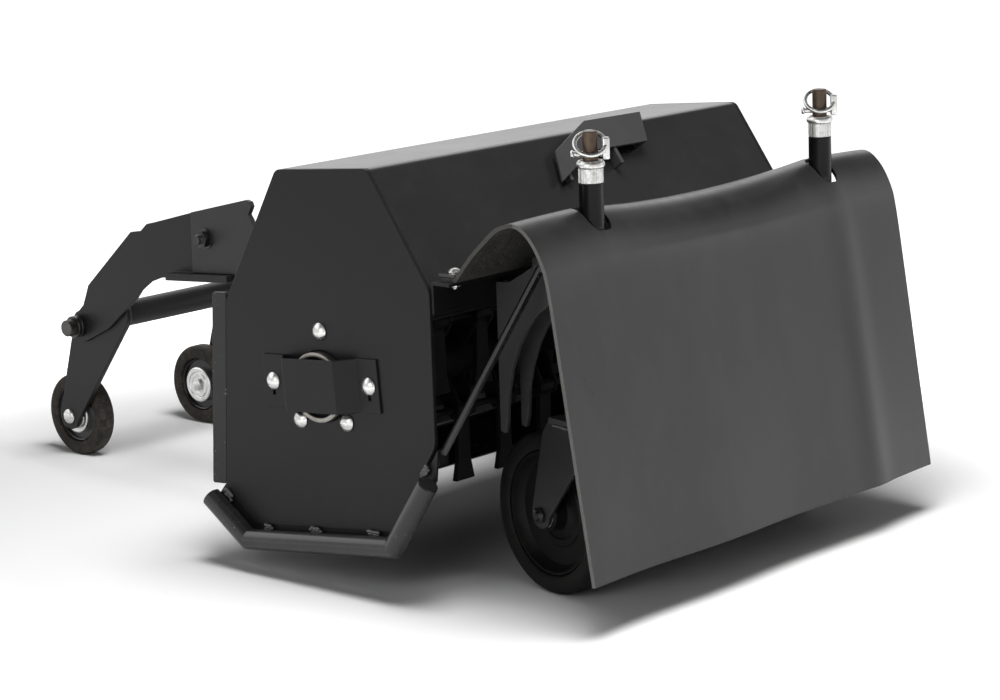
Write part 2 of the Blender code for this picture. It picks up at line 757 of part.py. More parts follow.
def build_rotor(rotor_axis):
    tube_profile = [
        (0, OUTER_X + 0.034), (SHAFT_R, OUTER_X + 0.034), (SHAFT_R, ROTOR_TUBE_HALF),
        (ROTOR_TUBE_R, ROTOR_TUBE_HALF), (ROTOR_TUBE_R, -ROTOR_TUBE_HALF), (SHAFT_R, -ROTOR_TUBE_HALF),
        (SHAFT_R, -OUTER_X - 0.0155), (0, -OUTER_X - 0.0155),
    ]
    tube = turned(tube_profile, (0, ROTOR_Y, ROTOR_Z), TURN_X, steps=16)
    reach = KNIFE_SHANK_W / 2 + EAR_CLEAR
    ears = []
    for row in range(ROW_COUNT):
        pin_y, pin_z = row_pin(row)
        hole = circle((pin_y, pin_z), PIN_R + PIN_CLEAR, 6)
        outline = ear_outline(row)
        eyes = []
        blades = []
        for x in row_places(row):
            for offset in (-reach - EAR_T / 2, reach + EAR_T / 2):
                ears.append(plate([outline, hole], EAR_T, (x + offset, 0, 0)))
            eyes.append(cylinder(KNIFE_EYE_R, KNIFE_SHANK_W + 0.0004, (x, pin_y, pin_z), TURN_X, sides=9))
            blades.append(knife_blade(x, pin_y, pin_z))
        first, last = row_places(row)[0], row_places(row)[-1]
        end = reach + EAR_T + FIT_GAP
        profile = [
            (0, last + end + 0.006), (0.0085, last + end + 0.006), (0.0085, last + end),
            (PIN_R, last + end), (PIN_R, first - end), (0.0085, first - end),
            (0.0085, first - end - 0.006), (0, first - end - 0.006),
        ]
        pin = turned(profile, (0, pin_y, pin_z), TURN_X, steps=8)
        letter = "abc"[row]
        row_axis = joint_empty("knife_axis_" + letter, (0, pin_y, pin_z), rotor_axis)
        hung = combine(pin, [together(eyes), together(blades)], "UNION")
        node("knives_" + letter, hung, KNIFE_STEEL, (0, pin_y, pin_z), row_axis)
    welded = combine(tube, [together(ears)], "UNION")
    node("rotor", welded, DARK_STEEL, (0, ROTOR_Y, ROTOR_Z), rotor_axis)


# Bearings and the near guard

def bolt_places(centre):
    """The three bolts of a bearing flange: one above its shaft and two below it."""
    places = []
    for y, z in ((0, BEARING_BOLT_RISE), (BEARING_BOLT_HALF, -BEARING_BOLT_DROP),
                 (-BEARING_BOLT_HALF, -BEARING_BOLT_DROP)):
        places.append((centre[0] + y, centre[1] + z - y * NOSE_RISE))
    return places


def flange_bearing(side, centre, bore):
    """A bearing bolted inside an end plate, with its ring standing out through the plate."""
    outline = []
    places = bolt_places(centre)
    lobes = [math.atan2(z - centre[1], y - centre[0]) for y, z in places]
    for place, lobe in sorted(zip(places, lobes), key=lambda item: item[1] % (2 * math.pi)):
        outline += circle(place, BEARING_LOBE_R, 3, lobe - math.pi / 2, math.pi)
    flange_out = HALF_INSIDE - FIT_GAP
    flange_in = flange_out - BEARING_FLANGE_T
    bore_hole = circle(centre, BEARING_HOLE_R, 20)
    flange = plate([outline, bore_hole], BEARING_FLANGE_T, (side * (flange_in + flange_out) / 2, 0, 0))
    body_in, body_out = flange_in - 0.001, flange_out - 0.0005
    ring_end = OUTER_X + BEARING_T - 0.001
    inside = bore + RUNNING_GAP
    section = [
        (BEARING_RING_R - 0.001, ring_end), (BEARING_RING_R, ring_end - 0.001), (BEARING_RING_R, body_out),
        (BEARING_BODY_R, body_out), (BEARING_BODY_R, body_in), (inside, body_in), (inside, ring_end),
    ]
    outward = TURN_X if side > 0 else (0, -math.radians(90), 0)
    body = turned(section, (0, *centre), outward, steps=24, closed=True)
    head_x = OUTER_X + FIT_GAP
    grip = head_x - flange_in - 0.0005
    bolts = [carriage_bolt(side, y, z, head_x, grip) for y, z in places]
    return combine(flange, [body] + bolts, "UNION")


def carriage_bolt(side, y, z, base_x, grip):
    """A bolt with a domed head on the outside and its nut inside the plate."""
    profile = [
        (0, 0.0075), (0.0066, 0.0062), (0.0122, 0), (BOLT_SHANK_R, 0), (BOLT_SHANK_R, -grip),
        (0.0090, -grip), (0.0090, -grip - 0.008), (0, -grip - 0.008),
    ]
    turn = TURN_X if side > 0 else (0, -math.radians(90), 0)
    return turned(profile, (side * base_x, y, z), turn, steps=8)


def guard_point(y, z):
    """A point of the guard's front view, tilted with the housing's long edges."""
    tilt = math.atan(NOSE_RISE)
    turned_y = y * math.cos(tilt) + z * math.sin(tilt)
    turned_z = z * math.cos(tilt) - y * math.sin(tilt)
    return (ROTOR_Y + turned_y, ROTOR_Z + GUARD_LIFT + turned_z)


def guard_bolt_places():
    reach = GUARD_FLANGE_HALF - GUARD_BOLT_SET_IN
    return [guard_point(-reach, 0), guard_point(reach, 0)]


def bolt_holes(side):
    """Holes in an end plate for the bolts of its bearing and, on the near end, of the guard."""
    places = bolt_places((ROTOR_Y, ROTOR_Z))
    if side == NEAR:
        places = places + guard_bolt_places()
    return [circle(place, BOLT_SHANK_R + BOLT_CLEAR, 8) for place in places]


def build_bearings():
    centre = (ROTOR_Y, ROTOR_Z)
    node("near_bearing", flange_bearing(NEAR, centre, SHAFT_R), DARK_STEEL)
    node("far_bearing", flange_bearing(FAR, centre, SHAFT_R), DARK_STEEL)

    face_x = OUTER_X + GUARD_DEPTH
    outer = [
        (-GUARD_FLANGE_HALF, OUTER_X + FIT_GAP), (-GUARD_FLANGE_HALF, OUTER_X + GUARD_T),
        (-GUARD_BASE_HALF - 0.002, OUTER_X + GUARD_T), (-GUARD_FACE_HALF, face_x),
        (GUARD_FACE_HALF, face_x), (GUARD_BASE_HALF + 0.002, OUTER_X + GUARD_T),
        (GUARD_FLANGE_HALF, OUTER_X + GUARD_T), (GUARD_FLANGE_HALF, OUTER_X + FIT_GAP),
        (GUARD_BASE_HALF, OUTER_X + FIT_GAP), (GUARD_FACE_HALF - 0.002, face_x - GUARD_T),
        (-GUARD_FACE_HALF + 0.002, face_x - GUARD_T), (-GUARD_BASE_HALF, OUTER_X + FIT_GAP),
    ]
    section = [(-x, y) for y, x in outer]
    tilt = (-math.atan(NOSE_RISE), 0, 0)
    hat = plate([section], GUARD_HEIGHT, (0, ROTOR_Y, ROTOR_Z + GUARD_LIFT), tilt)
    head_x = OUTER_X + GUARD_T - 0.0005
    bolts = [carriage_bolt(NEAR, y, z, head_x, head_x - HALF_INSIDE + FIT_GAP) for y, z in guard_bolt_places()]
    node("bearing_guard", combine(hat, [together(bolts)], "UNION"), BLACK_PAINT)


# Casters

def swivel_frame(side):
    """Places the caster's own axes: first along its trail, then along its axle, then up."""
    angle = math.radians(CASTER_SWIVEL_DEG)
    trail = Vector((math.sin(angle), math.cos(angle), 0))
    axle = Vector((math.cos(angle), -math.sin(angle), 0))
    stem = Vector((side * CASTER_X, CASTER_Y, 0))
    return stem, trail, axle


def build_caster(side, label):
    stem, trail, axle = swivel_frame(side)
    swivel = joint_empty(label + "_swivel_axis", tuple(stem))
    yaw = -math.radians(CASTER_SWIVEL_DEG)
    pivot = tuple(stem)
    half_track = CASTER_TYRE_W / 2 + FORK_GAP + FORK_PLATE_T / 2

    wheel_centre = stem + trail * CASTER_TRAIL + Vector((0, 0, CASTER_WHEEL_R))
    leg_top = CROWN_Z - 0.001
    leg = [(-0.024, leg_top), (0.056, leg_top), (0.071, leg_top - 0.020)]
    leg += circle((CASTER_TRAIL, CASTER_WHEEL_R), 0.018, 6, math.radians(20), -math.radians(200))
    leg += [(-0.024, leg_top - 0.022)]
    axle_hole = circle((CASTER_TRAIL, CASTER_WHEEL_R), CASTER_AXLE_R + FIT_GAP, 12)
    leg_turn = (math.radians(90), 0, math.radians(90) + yaw)
    legs = []
    for reach in (-half_track, half_track):
        legs.append(plate([leg, axle_hole], FORK_PLATE_T, tuple(stem + axle * reach), leg_turn))
    crown_size = (2 * half_track + FORK_PLATE_T + 0.002, 0.082, CROWN_T)
    crown_mid = stem + trail * 0.016 + Vector((0, 0, CROWN_Z - CROWN_T / 2))
    crown = box(crown_size, tuple(crown_mid), (0, 0, yaw))
    race = cylinder(RACE_R, 2 * RACE_H, (stem.x, stem.y, CROWN_Z), sides=16)
    fork = combine(crown, [legs[0], legs[1], race], "UNION")
    stem_bore = cylinder(STEM_R + FIT_GAP, 0.10, (stem.x, stem.y, CROWN_Z), sides=20)
    node(label + "_caster_fork", combine(fork, [stem_bore], "DIFFERENCE"), BLACK_PAINT, pivot, swivel)

    pin_angle = math.radians(LOCK_PIN_DEG)
    pin_turn = (0, math.radians(90), pin_angle)
    stem_bottom = CROWN_Z - CROWN_T - 0.004
    stem_profile = [
        (0, STEM_TOP_Z), (STEM_R - 0.002, STEM_TOP_Z), (STEM_R, STEM_TOP_Z - 0.002), (STEM_R, stem_bottom),
        (0, stem_bottom),
    ]
    bar = turned(stem_profile, pivot, steps=20)
    cross = cylinder(LOCK_PIN_R + FIT_GAP, 0.09, (stem.x, stem.y, LOCK_PIN_Z), pin_turn, sides=10)
    node(label + "_caster_stem", combine(bar, [cross], "DIFFERENCE"), STEM_STEEL, pivot, swivel)

    bottom = SLEEVE_TOP_Z + FIT_GAP
    collar_profile = [
        (STEM_R + FIT_GAP, bottom + COLLAR_H), (COLLAR_R - 0.001, bottom + COLLAR_H),
        (COLLAR_R + 0.0015, bottom + COLLAR_H - 0.003), (COLLAR_R + 0.0015, bottom + COLLAR_H - 0.007),
        (COLLAR_R, bottom + COLLAR_H - 0.009), (COLLAR_R, bottom), (STEM_R + FIT_GAP, bottom),
    ]
    collar = turned(collar_profile, pivot, steps=20, closed=True)
    node(label + "_stem_collar", collar, ZINC, pivot, swivel)

    across = Vector((math.cos(pin_angle), math.sin(pin_angle), 0))
    toward = Vector((across.y, -across.x, 0))
    level = stem + Vector((0, 0, LOCK_PIN_Z))
    free_end = level - across * LOCK_PIN_REACH
    pin = rod([tuple(free_end), tuple(level + across * (RING_ACROSS + 0.001))], LOCK_PIN_R, 2)
    lean = math.radians(RING_TILT_DEG)
    tilt = toward * math.cos(lean) - Vector((0, 0, 1)) * math.sin(lean)
    centre = stem + Vector((0, 0, RING_Z))
    ring_points = []
    for index in range(16):
        angle = 2 * math.pi * index / 16
        reach = across * (RING_ACROSS * math.cos(angle)) + tilt * (RING_ALONG * math.sin(angle))
        ring_points.append(tuple(centre + reach))
    ring = rod(ring_points, RING_WIRE_R, 1, cyclic=True)
    lug_h = RING_Z - LOCK_PIN_Z + LOCK_PIN_R + 0.004
    lug_place = level + across * RING_ACROSS + Vector((0, 0, lug_h / 2 - LOCK_PIN_R))
    lug = box((0.006, 0.008, lug_h), tuple(lug_place), (0, 0, pin_angle), bevel=0.001)
    node(label + "_lock_pin", combine(pin, [lug, ring], "UNION"), ZINC, pivot, swivel)

    spin = joint_empty(label + "_wheel_axis", tuple(wheel_centre), swivel)
    wheel_turn = (0, math.radians(90), yaw)
    centre_place = tuple(wheel_centre)
    half = CASTER_TYRE_W / 2
    tyre_section = [
        (CASTER_RIM_R, half - 0.003), (CASTER_WHEEL_R - 0.008, half), (CASTER_WHEEL_R, half * 0.45),
        (CASTER_WHEEL_R, -half * 0.45), (CASTER_WHEEL_R - 0.008, -half), (CASTER_RIM_R, -half + 0.003),
    ]
    tyre = turned(tyre_section, centre_place, wheel_turn, steps=32, closed=True)
    node(label + "_caster_tyre", tyre, TYRE_RUBBER, centre_place, spin)
    outer = CASTER_RIM_R - TYRE_SEAT
    hub_half = half + FORK_GAP - 0.0006
    bore = CASTER_AXLE_R + RUNNING_GAP
    rim_section = [
        (bore, hub_half), (CASTER_HUB_R - 0.003, hub_half), (CASTER_HUB_R, hub_half - 0.004),
        (CASTER_HUB_R, 0.005), (outer - 0.010, 0.003), (outer, half - 0.005),
        (outer, -half + 0.005), (outer - 0.010, -0.003),
        (CASTER_HUB_R, -0.005), (CASTER_HUB_R, -hub_half + 0.004), (CASTER_HUB_R - 0.003, -hub_half),
        (bore, -hub_half),
    ]
    rim = turned(rim_section, centre_place, wheel_turn, steps=20, closed=True)
    node(label + "_caster_rim", rim, BLACK_PAINT, centre_place, spin)

    face = half_track + FORK_PLATE_T / 2 + FIT_GAP
    axle_profile = [
        (0, face + 0.007), (0.0095, face + 0.007), (0.0110, face + 0.005), (0.0110, face),
        (CASTER_AXLE_R, face), (CASTER_AXLE_R, -face), (0.0110, -face), (0.0110, -face - 0.009),
        (0, -face - 0.009),
    ]
    axle_bolt = turned(axle_profile, centre_place, wheel_turn, steps=12)
    node(label + "_caster_axle", axle_bolt, ZINC, centre_place, swivel)


def build_height_spacer(side, label):
    """The stack of spacers on the stem between the fork's race and the sleeve."""
    low = CROWN_Z + RACE_H + FIT_GAP
    high = SLEEVE_BOTTOM_Z - FIT_GAP
    pitch = (high - low) / SPACER_COUNT
    bore = STEM_R + RUNNING_GAP
    section = []
    for index in range(SPACER_COUNT):
        top = high - pitch * index
        section += [(SLEEVE_R - 0.0008, top), (SLEEVE_R, top - 0.0015), (SLEEVE_R, top - pitch + 0.0015)]
    section += [(SLEEVE_R - 0.0008, low), (bore, low), (bore, high)]
    stack = turned(section, (side * CASTER_X, CASTER_Y, 0), steps=14, closed=True)
    node(label + "_height_spacers", stack, BLACK_PAINT)


def build_caster_arm(side, label):
    """Two curved cheeks reach from the front rail to the sleeve that holds the caster's stem."""
    face = rail_face_y() - FLANGE_T - FIT_GAP
    top = flange_top_z() - FLANGE_T - 0.013
    front = CASTER_Y + 0.001
    low_z = deck_point(FRONT_Y, FRONT_LOWER_Z)[1] - 0.002
    inner_top = SLEEVE_BOTTOM_Z + 0.004
    lower_edge = []
    for index in range(9):
        share = index / 8
        angle = math.radians(90) * share
        reach = face - 0.012 - front
        rise = (inner_top - low_z - 0.012) * math.cos(angle)
        lower_edge.append((front + reach * math.sin(angle), low_z + 0.012 + rise))
    cheek = [(face, top), (face, low_z)] + [(face - 0.008, low_z - 0.002)]
    cheek += list(reversed(lower_edge))
    cheek += [(front, inner_top + 0.052), (front + 0.030, inner_top + 0.055), (face - 0.022, top + 0.002)]
    offset = SLEEVE_R + ARM_CHEEK_T / 2 - 0.0015
    x = side * CASTER_X
    cheeks = [plate([cheek], ARM_CHEEK_T, (x + reach, 0, 0)) for reach in (-offset, offset)]
    length = SLEEVE_TOP_Z - SLEEVE_BOTTOM_Z
    middle = (SLEEVE_TOP_Z + SLEEVE_BOTTOM_Z) / 2
    sleeve = washer_ring(STEM_R + RUNNING_GAP, SLEEVE_R, length, (x, CASTER_Y, middle), steps=20)
    web_len = face - (CASTER_Y + SLEEVE_R) - 0.016
    web = box((2 * offset, web_len, 0.006), (x, (face + CASTER_Y + SLEEVE_R) / 2, inner_top + 0.004))
    node(label + "_caster_arm", combine(web, [together(cheeks), sleeve], "UNION"), BLACK_PAINT)

    foot_z = deck_point(FRONT_Y, FRONT_LOWER_Z)[1] - 0.016
    foot = Vector((side * (HALF_INSIDE - FIT_GAP - 0.010), FRONT_Y + 0.004, foot_z))
    head = Vector((x + side * (offset + 0.018), CASTER_Y + 0.050, inner_top + 0.034))
    along = (head - foot).normalized()
    bar = rod([tuple(foot + along * 0.004), tuple(head)], BRACE_R, 2)
    pad_turn = (0, 0, 0)
    tab_a = box((0.020, 0.006, 0.020), tuple(foot), pad_turn, bevel=0.001)
    tab_b = box((0.012, 0.026, 0.020), tuple(head + along * 0.004), pad_turn, bevel=0.001)
    node(label + "_brace", combine(bar, [tab_a, tab_b], "UNION"), BLACK_PAINT)


# Hood bracket: a chevron strap on the front slope with its small gusset

def slope_point(x, down, lift):
    """A point on the housing's front slope: across, down the slope from the top fold, and off it."""
    top = Vector(deck_point(TOP_FRONT_Y, TOP_Z))
    low = Vector(deck_point(FRONT_Y, FRONT_UPPER_Z))
    along = (low - top).normalized()
    off = Vector((along.y, -along.x))
    if off.y < 0:
        off = -off
    point = top + along * down + off * lift
    return Vector((x, point.x, point.y))


def build_hood_bracket():
    near_x, fold_x, far_x = -0.048, 0.026, 0.142
    band = 0.044
    lift = 0.0100
    strap = bmesh.new()
    rows = []
    for x, down, rise in ((near_x, 0.028, lift), (fold_x, -0.004, lift + 0.006), (far_x, -0.003, lift + 0.006)):
        upper = strap.verts.new(slope_point(x, down, rise))
        lower = strap.verts.new(slope_point(x - 0.016, down + band, rise))
        rows.append((upper, lower))
    for (up_a, low_a), (up_b, low_b) in zip(rows, rows[1:]):
        strap.faces.new((up_a, low_a, low_b, up_b))
    mesh = bpy.data.meshes.new("strap")
    strap.to_mesh(mesh)
    strap.free()
    shape = temporary(mesh)
    wall = shape.modifiers.new("wall", "SOLIDIFY")
    wall.thickness = 0.005
    wall.offset = 0
    top_low = Vector(deck_point(FRONT_Y, FRONT_UPPER_Z)) - Vector(deck_point(TOP_FRONT_Y, TOP_Z))
    angle = math.atan2(-top_low.x, -top_low.y)
    pads = []
    pad_places = ((near_x + 0.006, 0.052, lift), (0.060, 0.044, lift + 0.006), (0.120, 0.022, lift + 0.006))
    for x, down, height in pad_places:
        middle = slope_point(x, down, height / 2)
        pads.append(box((0.006, 0.040, height), tuple(middle), (math.radians(90) - angle, 0, 0)))
    node("hood_bracket", combine(shape, pads, "UNION"), BLACK_PAINT)


# Hitch

def hitch_x(side, offset):
    return HITCH_X + side * (ARM_SPREAD + offset)


def build_hitch_arm(side, label):
    arm_end = circle((PIVOT_Y - 0.002, PIVOT_Z - 0.004), ARM_END_R, 6, math.radians(50), -math.radians(170))
    arm = list(ARM_TOP_EDGE) + arm_end + list(ARM_LOWER_EDGE)
    bolt_hole = circle((HITCH_BOLT_Y, HITCH_BOLT_Z), HITCH_BOLT_R + FIT_GAP, 12)
    pivot_hole = circle((PIVOT_Y, PIVOT_Z), PIVOT_BOLT_R + FIT_GAP, 14)
    arm_middle = hitch_x(side, ARM_PLATE_T / 2)
    blade = plate([arm, bolt_hole, pivot_hole], ARM_PLATE_T, (arm_middle, 0, 0))
    flange_place = (hitch_x(side, ARM_FLANGE_W / 2), (ARM_FLANGE_FRONT_Y + ARM_FLANGE_REAR_Y) / 2,
                    ARM_FLANGE_TOP_Z - ARM_FLANGE_T / 2)
    flange_size = (ARM_FLANGE_W, ARM_FLANGE_REAR_Y - ARM_FLANGE_FRONT_Y, ARM_FLANGE_T)
    flange = box(flange_size, flange_place, (-math.atan(ARM_FLANGE_SLOPE), 0, 0))
    node(label + "_hitch_arm", combine(blade, [flange], "UNION"), BLACK_PAINT)

    rear_face = REAR_UPPER_Y + 0.012
    bracket = [(rear_face, 0.352)] + list(BRACKET_TOP_EDGE) + list(BRACKET_LOWER_EDGE)
    bracket.append((rear_face + 0.0075, 0.215))
    bracket_hole = circle((HITCH_BOLT_Y, HITCH_BOLT_Z), HITCH_BOLT_R + FIT_GAP, 12)
    middle = hitch_x(side, ARM_PLATE_T + FIT_GAP + BRACKET_T / 2)
    node(label + "_hitch_bracket", plate([bracket, bracket_hole], BRACKET_T, (middle, 0, 0)), BLACK_PAINT)

    outward = TURN_X if side > 0 else (0, -math.radians(90), 0)
    face = ARM_SPREAD + ARM_PLATE_T + FIT_GAP + BRACKET_T + FIT_GAP
    back = ARM_SPREAD - FIT_GAP
    profile = [
        (0, face + 0.018), (HITCH_BOLT_R, face + 0.018), (HITCH_BOLT_R, face + 0.0075), (0.0128, face + 0.0075),
        (0.0128, face), (HITCH_BOLT_R, face), (HITCH_BOLT_R, back), (0.0128, back), (0.0128, back - 0.009),
        (0, back - 0.009),
    ]
    bolt = turned(profile, (HITCH_X, HITCH_BOLT_Y, HITCH_BOLT_Z), outward, steps=12)
    node(label + "_hitch_bolt", bolt, BLACK_OXIDE)


def link_outline():
    """A three-cornered link: round at the pivot, the cross tube and the axle."""
    outline = circle((PIVOT_Y, PIVOT_Z), 0.023, 4, math.radians(75), -math.radians(90))
    outline += circle((REAR_AXLE_Y, REAR_WHEEL_R), 0.021, 5, math.radians(20), -math.radians(190))
    outline += circle((CROSS_TUBE_Y, CROSS_TUBE_Z), CROSS_TUBE_R + 0.006, 5, math.radians(210), -math.radians(125))
    return outline


def build_rear_carrier():
    carrier = joint_empty("carrier_axis", (HITCH_X, PIVOT_Y, PIVOT_Z))
    pivot = (HITCH_X, PIVOT_Y, PIVOT_Z)
    link_reach = ARM_SPREAD - FIT_GAP - LINK_T / 2
    links = []
    for label, side in (("near", NEAR), ("far", FAR)):
        drain_hole = circle((CROSS_TUBE_Y, CROSS_TUBE_Z), TUBE_DRAIN_R, 8)
        pivot_hole = circle((PIVOT_Y, PIVOT_Z), PIVOT_BOLT_R + RUNNING_GAP, 14)
        axle_hole = circle((REAR_AXLE_Y, REAR_WHEEL_R), REAR_AXLE_R + FIT_GAP, 12)
        holes = [drain_hole, pivot_hole, axle_hole]
        links.append(plate([link_outline()] + holes, LINK_T, (HITCH_X + side * link_reach, 0, 0)))

        outward = TURN_X if side > 0 else (0, -math.radians(90), 0)
        face = ARM_SPREAD + ARM_PLATE_T + FIT_GAP
        inner = link_reach - LINK_T / 2 - RUNNING_GAP
        profile = [
            (0, face + 0.026), (0.0115, face + 0.026), (0.0125, face + 0.025), (0.0125, face + 0.013),
            (0.0165, face + 0.013), (0.0165, face), (PIVOT_BOLT_R, face), (PIVOT_BOLT_R, inner),
            (0.0145, inner), (0.0145, inner - 0.010), (0, inner - 0.010),
        ]
        pivot_bolt = turned(profile, (HITCH_X, PIVOT_Y, PIVOT_Z), outward, steps=12)
        node(label + "_pivot_bolt", pivot_bolt, BLACK_OXIDE, pivot)

        wheel_reach = link_reach - LINK_T / 2 - 0.004 - REAR_TYRE_W / 2
        wheel_x = HITCH_X + side * wheel_reach
        centre = (wheel_x, REAR_AXLE_Y, REAR_WHEEL_R)
        spin = joint_empty(label + "_rear_wheel_axis", centre, carrier)
        half = REAR_TYRE_W / 2
        tyre_section = [
            (REAR_TYRE_INNER_R, half), (REAR_WHEEL_R - 0.005, half), (REAR_WHEEL_R, half - 0.005),
            (REAR_WHEEL_R, -half + 0.005), (REAR_WHEEL_R - 0.005, -half), (REAR_TYRE_INNER_R, -half),
        ]
        tyre = turned(tyre_section, centre, TURN_X, steps=32, closed=True)
        node(label + "_rear_tyre", tyre, TYRE_RUBBER, centre, spin)
        outer = REAR_TYRE_INNER_R - TYRE_SEAT
        bore = REAR_AXLE_R + RUNNING_GAP
        hub_section = [
            (bore, half + 0.0015), (REAR_HUB_R, half + 0.0015), (REAR_HUB_R, 0.004), (outer, 0.004),
            (outer, -0.004), (REAR_HUB_R, -0.004), (REAR_HUB_R, -half - 0.0015), (bore, -half - 0.0015),
        ]
        hub = turned(hub_section, centre, TURN_X, steps=20, closed=True)
        node(label + "_rear_hub", hub, ZINC, centre, spin)

        out_face = link_reach + LINK_T / 2 + FIT_GAP
        in_face = wheel_reach - half - 0.0015 - RUNNING_GAP
        profile = [
            (0, out_face + 0.005), (0.0115, out_face + 0.005), (0.0115, out_face), (REAR_AXLE_R, out_face),
            (REAR_AXLE_R, in_face), (0.0105, in_face), (0.0105, in_face - 0.006), (0, in_face - 0.006),
        ]
        axle = turned(profile, (HITCH_X, REAR_AXLE_Y, REAR_WHEEL_R), outward, steps=12)
        node(label + "_rear_axle", axle, ZINC, centre, carrier)
    tube = washer_ring(CROSS_TUBE_R - CROSS_TUBE_WALL, CROSS_TUBE_R, 2 * (link_reach + LINK_T / 2),
                       (HITCH_X, CROSS_TUBE_Y, CROSS_TUBE_Z), TURN_X, steps=16)
    node("wheel_carrier", combine(tube, [together(links)], "UNION"), BLACK_PAINT, pivot, carrier)


# Belt drive under its case on the far end

def loop_outline(rotor_r, drive_r, steps=12):
    """A line drawn tight round two circles, one on the rotor's axis and one on the drive's."""
    rotor = Vector((ROTOR_Y, ROTOR_Z))
    drive = Vector((DRIVE_Y, DRIVE_Z))
    along = drive - rotor
    heading = math.atan2(along.y, along.x)
    lean = math.asin((drive_r - rotor_r) / along.length)
    half_turn = math.pi / 2
    return (circle(drive, drive_r, steps, heading - half_turn - lean, math.pi + 2 * lean)
            + circle(rotor, rotor_r, steps, heading + half_turn + lean, math.pi - 2 * lean))


def belt_outline(grow):
    return loop_outline(ROTOR_SHEAVE_R + grow, DRIVE_SHEAVE_R + grow)


def sheave_profile(radius, middle):
    """The rim and groove of a sheave, as the outer side of a turned profile."""
    half = SHEAVE_W / 2
    groove = BELT_W / 2 + 0.0006
    return [
        (radius + 0.003, middle + half), (radius + 0.003, middle + groove),
        (radius - BELT_SEAT, middle + groove), (radius - BELT_SEAT, middle - groove),
        (radius + 0.003, middle - groove), (radius + 0.003, middle - half),
    ]


def build_drive(rotor_axis):
    belt_x = OUTER_X + BEARING_T + 0.012
    half = SHEAVE_W / 2
    bore = SHAFT_R + FIT_GAP
    section = sheave_profile(ROTOR_SHEAVE_R, belt_x) + [(bore, belt_x - half), (bore, belt_x + half)]
    rotor_sheave = turned(section, (0, ROTOR_Y, ROTOR_Z), TURN_X, steps=20, closed=True)
    node("rotor_sheave", rotor_sheave, DARK_STEEL, (0, ROTOR_Y, ROTOR_Z), rotor_axis)

    drive_axis = joint_empty("drive_axis", (0, DRIVE_Y, DRIVE_Z))
    input_x = DRIVE_SHAFT_INNER_X + 0.015
    profile = [(0, belt_x + 0.014), (DRIVE_SHAFT_R, belt_x + 0.014), (DRIVE_SHAFT_R, belt_x + half)]
    profile += sheave_profile(DRIVE_SHEAVE_R, belt_x)
    profile += [(DRIVE_SHAFT_R, belt_x - half), (DRIVE_SHAFT_R, input_x + half)]
    profile += sheave_profile(DRIVE_SHEAVE_R, input_x)
    profile += [(DRIVE_SHAFT_R, input_x - half), (DRIVE_SHAFT_R, DRIVE_SHAFT_INNER_X), (0, DRIVE_SHAFT_INNER_X)]
    shaft = turned(profile, (0, DRIVE_Y, DRIVE_Z), TURN_X, steps=16)
    node("drive_shaft", shaft, DARK_STEEL, (0, DRIVE_Y, DRIVE_Z), drive_axis)
    belt = plate([belt_outline(BELT_T), belt_outline(0.0)], BELT_W, (belt_x, 0, 0))
    node("drive_belt", belt, BELT_RUBBER)


def build_drive_case():
    outer = loop_outline(CASE_ROTOR_R, CASE_DRIVE_R, 9)
    inner = loop_outline(CASE_ROTOR_R - CASE_T, CASE_DRIVE_R - CASE_T, 9)
    bearing_hole = circle((ROTOR_Y, ROTOR_Z), CASE_ROTOR_R - CASE_T, 18)
    shaft_hole = circle((DRIVE_Y, DRIVE_Z), DRIVE_SHAFT_R + 0.002, 16)
    back_x = OUTER_X + FIT_GAP
    back = plate([loop_outline(CASE_ROTOR_R - 0.001, CASE_DRIVE_R - 0.001, 9), bearing_hole, shaft_hole],
                 CASE_T, (back_x + CASE_T / 2, 0, 0))
    face = plate([outer], CASE_T, (CASE_X - CASE_T / 2, 0, 0))
    wall_start, wall_end = back_x + 0.001, CASE_X - 0.001
    wall = plate([outer, inner], wall_end - wall_start, ((wall_start + wall_end) / 2, 0, 0))
    node("drive_case", combine(wall, [face, back], "UNION"), BLACK_PAINT)

    bearing_x = DRIVE_BEARING_X
    foot_len = 0.060
    centre = (DRIVE_Y, DRIVE_Z)
    block_loops = [circle(centre, 0.030, 20), circle(centre, DRIVE_SHAFT_R + RUNNING_GAP, 20)]
    block = plate(block_loops, 0.024, (bearing_x, 0, 0))
    rear = REAR_UPPER_Y + 0.0125
    stand_end = DRIVE_Y - 0.024
    stand = box((0.024, stand_end - rear - 0.001, 0.020), (bearing_x, (stand_end + rear) / 2, DRIVE_Z))
    pad = box((foot_len, 0.008, 0.052), (bearing_x, rear + 0.0045, DRIVE_Z))
    node("drive_bearing", combine(block, [stand, pad], "UNION"), DARK_STEEL)


rotor_axis = joint_empty("rotor_axis", (0, ROTOR_Y, ROTOR_Z))
flap_axis = joint_empty("flap_axis", stations_pivot())
build_end_plates()
build_hood_shell()
build_skids()
build_rear_strips()
build_front_rail()
build_flap(flap_axis)
build_rotor(rotor_axis)
build_bearings()
for label, side in (("near", NEAR), ("far", FAR)):
    build_caster(side, label)
    build_height_spacer(side, label)
    build_caster_arm(side, label)
    build_hitch_arm(side, label)
build_hood_bracket()
build_rear_carrier()
build_drive(rotor_axis)
build_drive_case()
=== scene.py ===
# %% [markdown]
# A hammer knife mower, dressed for its portrait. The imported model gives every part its
# place and its size. This lesson gives the parts their edges, fasteners, welds, rubber
# and paint, one kind of piece at a time, and each new piece rides on a body of the model.

# %% Load the frame
import json
import math
import random

import bmesh
import bpy
from mathutils import Matrix, Vector


